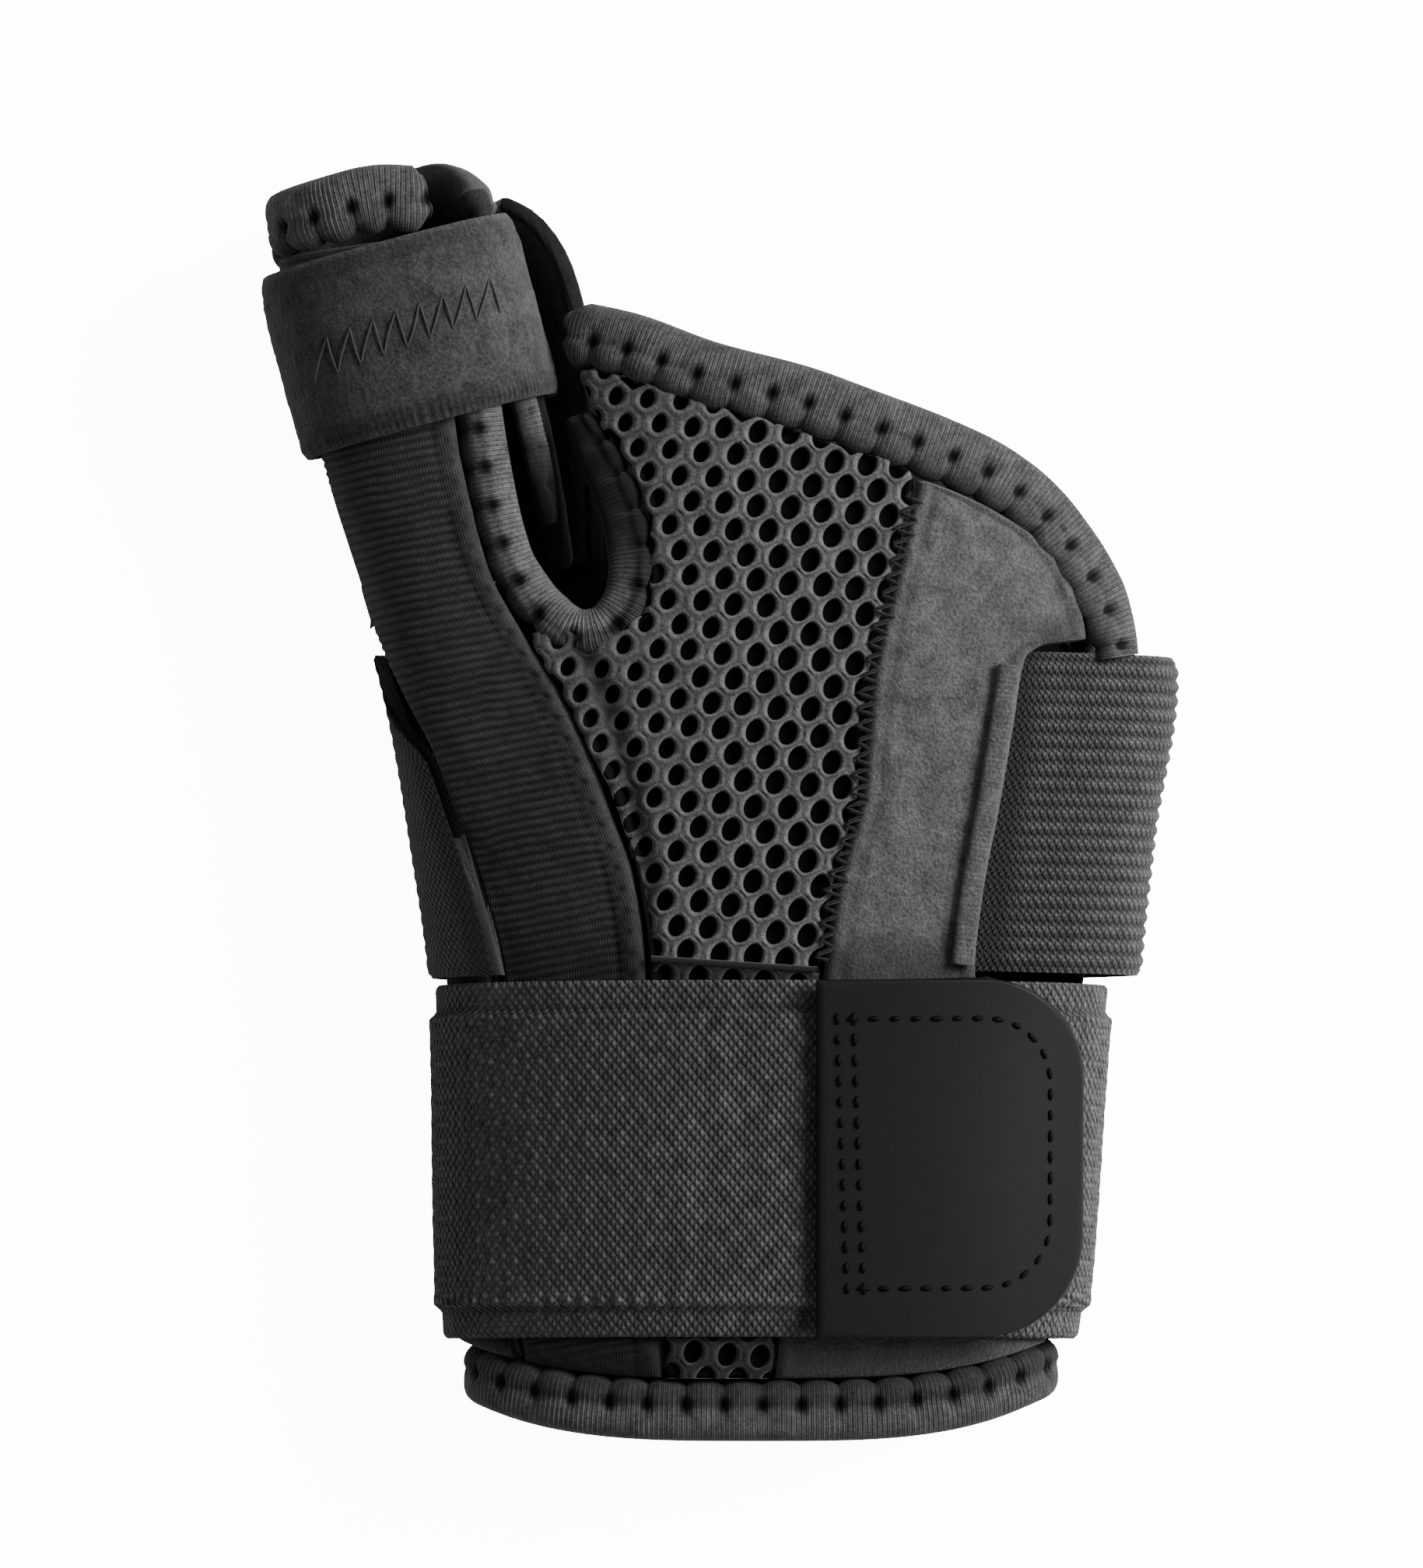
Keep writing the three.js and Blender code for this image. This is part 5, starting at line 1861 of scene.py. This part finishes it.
@dataclass
class ThumbTube:
    """Rear half of the thumb tube, its web, its rims and its strap."""

    bench: Bench
    strap_low: float = THUMB_STRAP_FOOT * HALF_LENGTH
    turns: int = 840
    rows: int = 48
    girth: float = 19.0
    zigzags: int = 17

    def back_face(self, u: Array, v: Array) -> Array:
        """Return points of the rear half.

        Args:
            u: share of the way across.
            v: share of the way up.

        Returns:
            The points.
        """
        limb = self.bench.limb
        angle = mix(-176, 12, u) * DEGREE
        stop = limb.rear_rim(angle) - BINDING_WIDTH / 2 - 2 * SEAM_GAP
        return limb.thumb(angle, mix(THUMB_BACK_FOOT * HALF_LENGTH, stop, v), 0)

    def web_face(self, u: Array, v: Array) -> Array:
        """Return points of the web.

        Args:
            u: share of the way across.
            v: share of the way up.

        Returns:
            The points.
        """
        at = v * WEB.columns["at"][-1]
        clear = LAYER_GAP * 2 + THUMB_STRAP_WALL + WEB_WALL
        left = self.bench.limb.thumb(-60 * DEGREE, WEB.curve("at", "along")(at), clear)
        right = np.stack([WEB.curve("at", name)(at) for name in "xyz"], axis=-1)
        swell = np.sin(math.pi * u) * WEB_WALL
        return mix(left, right, u[..., None]) + point(swell / 2, 0, -swell)

    def soft(self, points: Array, chart: Array, near: Array) -> tuple[Array, Array]:
        """Return a gentle unevenness."""
        u, v = chart[..., 0], chart[..., 1]
        return 0.14 * wander(u, 3.0, 2.0) * wander(v, 4.0, 1.0), np.full(u.shape, 0.8)

    def strap(self) -> None:
        """Build the brushed strap."""
        limb = self.bench.limb
        angle = np.arange(self.turns) * 2 * math.pi / self.turns
        up = np.linspace(0, 1, self.rows) * THUMB_STRAP_WIDTH
        edge = np.minimum(up, THUMB_STRAP_WIDTH - up)
        rise = LAYER_GAP + THUMB_STRAP_WALL * (0.72 + 0.28 * smooth(0, 1.2, edge))
        welt = bell(edge - 1.3, 0.35) + 0.8 * bell(edge - 2.5, 0.35)
        grid_a, grid_u = np.meshgrid(angle, up, indexing="ij")
        bumpy = wander(grid_a * self.girth, 1.1, 1.0) * wander(grid_u, 1.3, 4.0)
        outer = limb.thumb(grid_a, self.strap_low + grid_u, rise + 0.12 * bumpy - 0.2 * welt)
        inner_up = THUMB_STRAP_WIDTH * np.linspace(1, 0, 8)
        inner = limb.thumb(angle[:, None], self.strap_low + inner_up[None], LAYER_GAP)
        light = 0.62 + 0.38 * smooth(-0.9, 0.9, np.cos(angle))[:, None]
        knit = bell(edge, 3.2) * ripple(grid_a, 2 * math.pi / 118)
        low = bell(up, 2.8) * ripple(grid_a, 2 * math.pi / 126)
        shade = light * (0.94 + 0.06 * bumpy - 0.5 * low) - 0.3 * welt - 0.15 * knit
        shape = Shape()
        middle = shape.add_band(outer, inner, (np.clip(shade, 0.05, 1), 0.4))
        strap = self.bench.finish(shape, "thumb_strap_loop", "loop", "thumb_strap", "brushed_strap")
        self.bench.band(strap, THUMB_STRAP_WIDTH, middle, ["thumb_back_cloth"])

    def zigzag(self) -> None:
        """Sew the zigzag across the strap's front."""
        number = np.arange(self.zigzags)
        spread = np.linspace(-0.74, 0.72, self.zigzags) + 0.08 * (number % 2)
        sweep = np.arccos(np.sign(spread) * np.abs(spread) ** (SQUARENESS / 2))
        along = np.linspace(62.7, 65.3, self.zigzags) + 5.2 * (number % 2)
        dense = np.linspace(0, number[-1], 12 * number[-1] + 1)
        dip = 0.22 * np.abs(np.sin(math.pi * dense))
        angle, y = np.interp(dense, number, sweep), np.interp(dense, number, along)
        line = self.bench.limb.thumb(angle, y, LAYER_GAP + THUMB_STRAP_WALL + 0.05 + dip)
        thread(self.bench, "thumb_zigzag", line, 0.14, "thread", "brushed_strap")

    def rims(self) -> None:
        """Build the two bound rims and the edge strip."""
        limb, thick = self.bench.limb, PANEL_WALL + 2 * BINDING_CROWN
        share = np.linspace(0, 1, 260)
        path = tube_path(limb, mix(171, 64, share) * DEGREE,
                         (0.95 - 0.02 * smooth(0.7, 1, share)) * HALF_LENGTH)
        tape = Binding(path, BINDING_WIDTH + 1.0, BINDING_CROWN, thick, side=-1,
                       narrow=1 - 0.3 * smooth(0.93, 1, share))
        self.bench.tape(tape, "thumb_rim_front_tape", "thumb_rim_front")
        share = np.linspace(0, 1, 420)
        angle = mix(-172, 16, share) * DEGREE
        tape = Binding(tube_path(limb, angle, limb.rear_rim(angle)), BINDING_WIDTH + 1.6,
                       BINDING_CROWN, thick, narrow=1 - 0.55 * smooth(0.6, 1, share))
        self.bench.tape(tape, "thumb_rim_back_tape", "thumb_rim_back")
        share = np.linspace(0, 1, 130)
        path = tube_path(limb, mix(26, 31, share) * DEGREE, mix(0.41, 0.78, share) * HALF_LENGTH)
        # Painted shade: the edge strip darkens towards its lower end, inside the opening
        tape = Binding(path, EDGE_STRIP_WIDTH, 0.0, PANEL_WALL, stitches=0.5,
                       tone=0.05 + 1.1 * smooth(0.1, 0.5, share),
                       narrow=0.4 + 0.6 * smooth(0, 0.2, share))
        self.bench.tape(tape, "thumb_edge_tape", "thumb_edge_strip")

    def build(self) -> None:
        """Build the whole tube."""
        back = Panel(self.back_face, 90, 80, PANEL_WALL, round_along=0.04)
        self.bench.pad(back, self.soft, 0.6, "thumb_back_cloth", "back", "thumb_back", "back_cloth")
        web = Panel(self.web_face, 50, 80, WEB_WALL, round_across=0.06, round_along=0.03)
        self.bench.pad(web, self.soft, 0.4, "thumb_web_cloth", "back", "thumb_web", "back_cloth")
        self.strap()
        self.zigzag()
        self.rims()


@dataclass
class Edges:
    """Bound edges of hand, back, thumb opening and cuff."""

    bench: Bench
    step: float = 0.17
    grip: float = 0.9

    def flat(self, name: str, table: Table, width: float, top: float, facing: int = 1,
             tone: float = 1.0, end_shade: float = 0.0, taper: float = 0.0, **kind: float) -> None:
        """Build a binding over a curve of the plan.

        Args:
            name: the node that it replaces.
            table: the curve of its middle.
            width: its width.
            top: how far it stands over the face.
            facing: 1 for the front face, -1 for the back.
            tone: painted light and shade, how light the whole binding is drawn.
            end_shade: painted shade, how much darker it ends.
            taper: how much narrower it ends.
            kind: the binding's own settings.
        """
        path = PlanPath(self.bench.limb, table, self.step if facing > 0 else 0.4, facing)
        share = np.linspace(0, 1, len(path.points))
        narrow = 1 - taper * smooth(0.9, 1, share) - 0.3 * (1 - smooth(0, 0.02, share))
        tape = Binding(path.sweep(), width + self.grip, top, PANEL_WALL + 2 * BINDING_CROWN,
                       stitches=1.0 if facing > 0 else 0.6, narrow=narrow,
                       tone=tone * (1 - end_shade * smooth(0.5, 0.8, share)), **kind)
        self.bench.tape(tape, name + "_tape", name)

    def cuff(self) -> None:
        """Build the ring round the cuff."""
        limb = self.bench.limb
        angle = np.linspace(0, 2 * math.pi, 1500, endpoint=False)
        y = limb.cuff_top(angle) - BINDING_WIDTH / 2
        points = limb.hand(angle, y, 0.0)
        out = unit(limb.hand(angle, y, 1.0) - points)
        along = np.roll(points, -1, axis=0) - np.roll(points, 1, axis=0)
        up = unit(out - along * (np.sum(out * along, axis=1) / np.sum(along ** 2, axis=1))[:, None])
        # Painted shade: the loose upper side and the whole binding drawn darker
        tape = Binding(frame_of(points, up, True), BINDING_WIDTH, BINDING_CROWN,
                       PANEL_WALL + 2 * BINDING_CROWN, side=-1, deep=0.5, tone=0.85)
        self.bench.tape(tape, "cuff_tape", "cuff_binding")

    def build(self) -> None:
        """Build every edge."""
        self.flat("hand_binding", HAND_EDGE, BINDING_WIDTH, BINDING_CROWN, taper=0.3, side=-1)
        self.flat("back_binding", BACK_EDGE, BINDING_WIDTH, 0.0, facing=-1)
        # Painted light and shade: the slit binding lighter overall, darker on its loose side and at
        # its end
        self.flat("slit_binding", SLIT_EDGE, SLIT_BINDING_WIDTH, 0.2, tone=1.3, end_shade=0.93,
                  taper=0.35, side=-1, line=0.4, deep=0.5, rib=0.16)
        self.cuff()


@dataclass
class LowerStrap:
    """Wide looped elastic round the wrist, with thin selvedges."""

    bench: Bench
    turns: int = 760
    rows: int = 96
    girth: float = 43.0
    knit_pitch: float = 2.5
    wale_pitch: float = 4.4
    loop_pitch: float = 2.7
    loop_line: float = 5.4

    def build(self) -> None:
        """Build the strap."""
        limb = self.bench.limb
        angle = 2 * math.pi * np.linspace(0, 1, self.turns, endpoint=False)
        down = np.linspace(0, LOWER_STRAP_WIDTH, self.rows)
        edge = np.minimum(down, LOWER_STRAP_WIDTH - down)
        body = smooth(SELVEDGE_WIDTH - 0.3, SELVEDGE_WIDTH + 0.9, edge)
        rise = LAYER_GAP + mix(SELVEDGE_WALL, STRAP_WALL, body) * (0.6 + 0.4 * smooth(0, 0.7, edge))
        grid_a, grid_d = np.meshgrid(angle, down, indexing="ij")
        walk = grid_a * self.girth
        first, second = (np.sin(math.pi * (walk + lean * grid_d) / self.knit_pitch)
                         for lean in (0.45, -0.45))
        knit = np.abs(first * second)
        loops = (bell(LOWER_STRAP_WIDTH - grid_d - self.loop_line, 1.1)
                 * ripple(walk, self.loop_pitch))
        wale = ripple(walk, self.wale_pitch, 0.5 * wander(grid_d, 6.0, 3.0))
        uneven = wander(walk, 8.0, 1.0) * wander(grid_d, 9.0, 2.0)
        relief = body * (0.16 * (knit - 0.5) + 0.1 * uneven) + 0.3 * loops
        height = rise + relief * smooth(-0.99, -0.8, np.sin(grid_a))
        outer = limb.hand(grid_a, limb.strap_top(grid_a) - grid_d, height)
        inner_down = LOWER_STRAP_WIDTH * np.linspace(1, 0, 8)
        inner = limb.hand(angle[:, None], limb.strap_top(angle)[:, None] - inner_down, LAYER_GAP)
        right = np.cos(grid_a)
        lit = mix(0.72, 1.3, smooth(-1.0, 1.05, right)) + 0.5 * smooth(0.9, 1.0, right)
        shade = ((0.6 + 0.3 * knit + 0.1 * uneven + 0.14 * wale + 0.45 * loops) * lit
                 - 0.45 * bell(edge - SELVEDGE_WIDTH, 0.45))
        shape = Shape()
        middle = shape.add_band(outer, inner, (np.clip(shade, 0.05, 1.4), 0.4))
        strap = self.bench.finish(shape, "lower_strap_knit", "knit", "lower_strap",
                                  "looped_elastic")
        self.bench.band(strap, LOWER_STRAP_WIDTH, middle,
                        ["stay_sleeve_cloth", "palm_velour", "back_cloth_panel"])


@dataclass
class UpperStrap:
    """Ribbed elastic that leaves the palm panel and runs round the right side and the back."""

    bench: Bench
    steps: int = 330
    rows: int = 176
    ribs: int = 22
    rib_height: float = 0.42
    # How the shade changes along the strap: from and to, start and end of the change
    changes: tuple[tuple[float, float, float, float], ...] = (
        (1.0, 0.3, 0.62, 0.9), (0.04, 0.8, 0.05, 0.08), (1.0, 1.25, 0.09, 0.17),
        (1.0, 0.03, 0.96, 0.985))

    def skin(self, share: Array, across: Array, outside: bool, relief: Array | float) -> Array:
        """Return points of one face of the strap.

        Args:
            share: how far along the strap.
            across: how far across it.
            outside: whether the outer face is meant.
            relief: height over that face.

        Returns:
            The points.
        """
        limb = self.bench.limb
        rows = {name: values[:8] for name, values in SLEEVE.columns.items()}
        seam = monotone(rows["left_y"], rows["left_x"])
        low = limb.strap_top(mix(62, -200, share) * DEGREE) + 3 * LAYER_GAP
        y = low + across * UPPER_STRAP_WIDTH
        left = limb.hand_angle(seam(y) - 2 * SEAM_GAP, y, BACK_HEIGHT, True) - 2 * math.pi
        tuck = smooth(0.06 * HALF_LENGTH, 0.19 * HALF_LENGTH, y)
        angle = mix(62 * DEGREE, mix(left, -181 * DEGREE, tuck), share)
        dive = PANEL_WALL + STRAP_WALL + 3 * LAYER_GAP
        sunk = dive * smooth(6 * DEGREE, 48 * DEGREE, angle)
        side = smooth(-60 * DEGREE, 0, angle) * (1 - smooth(10 * DEGREE, 50 * DEGREE, angle))
        loose = SLACK * side * (1 - 0.75 * across)
        return limb.hand(angle, y, LAYER_GAP + (STRAP_WALL if outside else 0.0) - sunk + loose
                         + relief, True)

    def build(self) -> None:
        """Build the strap."""
        share = np.linspace(0, 1, self.steps)
        across = np.linspace(0, 1, self.rows)
        grid_s, grid_c = np.meshgrid(share, across, indexing="ij")
        edge = np.minimum(across, 1 - across) * UPPER_STRAP_WIDTH
        ridge = ripple(grid_c, 1 / self.ribs) ** 0.7
        strength = 1 - 0.65 * smooth(0.5, 0.85, grid_s)
        height = self.rib_height * (ridge - 1) * strength - 0.7 * (1 - smooth(0, 0.9, edge))
        outer = self.skin(grid_s, grid_c, True, height)
        inner = self.skin(share[:, None], np.linspace(1, 0, 10)[None], False, 0.0)
        shade = mix(1.0, 0.28 + 0.72 * ridge, strength)
        for before, after, start, stop in self.changes:
            shade = shade * mix(before, after, smooth(start, stop, grid_s))
        shape = Shape()
        middle = shape.add_band(outer, inner, (np.clip(shade, 0.01, 1), 0.02), closed=False)
        strap = self.bench.finish(shape, "upper_strap_ribs", "elastic", "upper_strap",
                                  "ribbed_elastic")
        self.bench.band(strap, UPPER_STRAP_WIDTH, middle, ["palm_velour", "back_cloth_panel"])


@dataclass
class HookTab:
    """Smooth D-shaped tab with a double line of stitches."""

    bench: Bench
    rise: float = LAYER_GAP * 2 + STRAP_WALL + TAB_WALL
    # Where the line of stitches runs: its upper and lower part, its right side and its bends
    top: float = -30.0
    low: float = -67.7
    right: float = 46.1
    bend: float = 9.0
    columns: tuple[float, float] = (16.2, 18.5)
    column_lean: float = 1.4

    def lay(self, x: Array, y: Array, over: float = 0.0) -> Array:
        """Return points over the tab's face."""
        limb = self.bench.limb
        return limb.hand(limb.hand_angle(x, y, self.rise), y, self.rise + over)

    def face(self, u: Array, v: Array) -> Array:
        """Return points of the tab's face.

        Args:
            u: share of the way across.
            v: share of the way up.

        Returns:
            The points.
        """
        right, half = TAB_RIGHT * HALF_WIDTH, LOWER_STRAP_WIDTH / 2
        from_middle = -half * np.cos(math.pi * v)
        corner = np.maximum(np.abs(from_middle) - (half - TAB_CORNER), 0)
        cut = TAB_CORNER - np.sqrt(np.maximum(TAB_CORNER ** 2 - corner ** 2, 0))
        return self.lay(mix(right - TAB_LENGTH, right - cut, u),
                        self.bench.limb.strap_top(math.pi / 2) - half + from_middle)

    def build(self) -> None:
        """Build the tab and its stitches."""
        shape = Shape()
        Panel(self.face, 60, 80, TAB_WALL, round_across=0.05, round_along=0.06).add_to(shape)
        self.bench.finish(shape, "hook_tab_sheet", "tab", "hook_tab", "tab_sheet")
        turn = np.linspace(90, 0, 14) * DEGREE
        out, up = self.bend * np.cos(turn), self.bend * np.sin(turn)
        side = self.right - self.bend
        x = np.concatenate([[18.4, 28.0], side + out, side + out[::-1], [28.0, 19.9]])
        y = np.concatenate([[self.top] * 2, self.top - self.bend + up,
                            self.low + self.bend - up[::-1], [self.low] * 2])
        outline = centripetal(np.stack([x, y], axis=-1), 160)
        height = np.linspace(self.top, self.low, 40)
        lines = [outline.T]
        lines += [(np.linspace(start, start + self.column_lean, 40), height)
                  for start in self.columns]
        stitches(self.bench, "hook_tab_stitches", [self.lay(*line, 0.02) for line in lines],
                 (0.42, 1.8, 2.9), "black", "tab_sheet")


class Studio:
    """Floor, light and camera as in the photograph."""

    distance: float = 1.5
    view_height: float = 0.2218
    sensor: float = 36.0
    aside: tuple[float, float] = (-0.00105, 0.0023)
    level: float = 0.02
    glow: float = 12.0
    floor_half: float = 4.0
    # Ovals of the floor that the splint covers: middle, half width and half length
    shaded: tuple[tuple[float, float, float, float], ...] = (
        (6, -16, 44, 64), (30, 20, 28, 26), (-30, 40, 15, 22), (-46, 66, 9, 12), (6, -70, 34, 9))

    def build(self) -> None:
        """Set the scene up."""
        low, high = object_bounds()
        middle = (low + high) / 2
        camera = link(bpy.data.objects.new("camera", bpy.data.cameras.new("camera")))
        camera.location = (middle[0] + self.aside[0], middle[1] + self.aside[1],
                           self.level + self.distance)
        camera.data.sensor_width = self.sensor
        camera.data.lens = self.sensor * self.distance / self.view_height
        camera.data.clip_end = 20
        bpy.context.scene.camera = camera
        self.light("key", (0.95, 0.42, 0.72), 0.6, 62.0)
        self.light("fill", (-0.9, 0.1, 0.8), 1.2, 0.8)
        world = bpy.data.worlds.new("studio")
        bpy.context.scene.world = world
        world.use_nodes = True
        nodes = Nodes(world.node_tree)
        world.node_tree.nodes.clear()
        sky = nodes.add("ShaderNodeBackground", {"Color": (1, 1, 1, 1), "Strength": 0.75})
        nodes.add("ShaderNodeOutputWorld", {"Surface": sky.outputs[0]})
        mesh = bpy.data.meshes.new("floor")
        half = self.floor_half
        mesh.from_pydata([(-half, -half, 0), (half, -half, 0), (half, half, 0), (-half, half, 0)],
                         [], [(0, 1, 2, 3)])
        mesh.materials.append(self.paper())
        link(bpy.data.objects.new("floor", mesh))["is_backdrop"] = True

    def paper(self) -> bpy.types.Material:
        """Return the floor's white, which shines for the camera around the splint.

        Returns:
            The material.
        """
        paper = bpy.data.materials.new("paper")
        paper.use_nodes = True
        sheet = Nodes(paper.node_tree)
        shader = paper.node_tree.nodes["Principled BSDF"]
        shader.inputs["Base Color"].default_value = (0.92, 0.92, 0.92, 1)
        shader.inputs["Roughness"].default_value = 0.9
        shader.inputs["Emission Color"].default_value = (1, 1, 1, 1)
        seen = sheet.add("ShaderNodeLightPath").outputs["Is Camera Ray"]
        place = sheet.add("ShaderNodeSeparateXYZ", {
            0: sheet.add("ShaderNodeTexCoord").outputs["Object"]}).outputs
        glow = sheet.math("MULTIPLY", seen, self.glow)
        for x, y, wide, long in self.shaded:
            across, up = (sheet.math("DIVIDE", sheet.math("SUBTRACT", place[axis], spot * MM),
                                     half * MM)
                          for axis, spot, half in ((0, x, wide), (1, y, long)))
            far = sheet.math("ADD", sheet.math("MULTIPLY", across, across),
                             sheet.math("MULTIPLY", up, up))
            edge = sheet.between(sheet.math("MULTIPLY_ADD", far, 2.5, -1.75))
            glow = sheet.math("MULTIPLY", glow, edge)
        paper.node_tree.links.new(glow, shader.inputs["Emission Strength"])
        return paper

    @staticmethod
    def light(name: str, place: tuple[float, float, float], size: float, watts: float) -> None:
        """Hang a soft lamp that points at the splint.

        Args:
            name: its name.
            place: where it hangs, in metres.
            size: length of its side.
            watts: its power.
        """
        lamp = link(bpy.data.objects.new(name, bpy.data.lights.new(name, "AREA")))
        lamp.data.size, lamp.data.energy = size, watts
        lamp.location = place
        way = mathutils.Vector((0, 0, 0.02)) - mathutils.Vector(place)
        lamp.rotation_euler = way.to_track_quat("-Z", "Y").to_euler()


def main() -> None:
    """Build every piece in order."""
    logging.basicConfig(level=logging.INFO, format="%(message)s")
    Studio().build()
    bench = Bench()
    LOG.info("shift %s", bench.shift)
    for part in (StaySleeve, MeshPanel, PalmPanel, BackPanel, ThumbTube, Edges, LowerStrap,
                 UpperStrap, HookTab):
        part(bench).build()


if __name__ == "__main__":
    main()
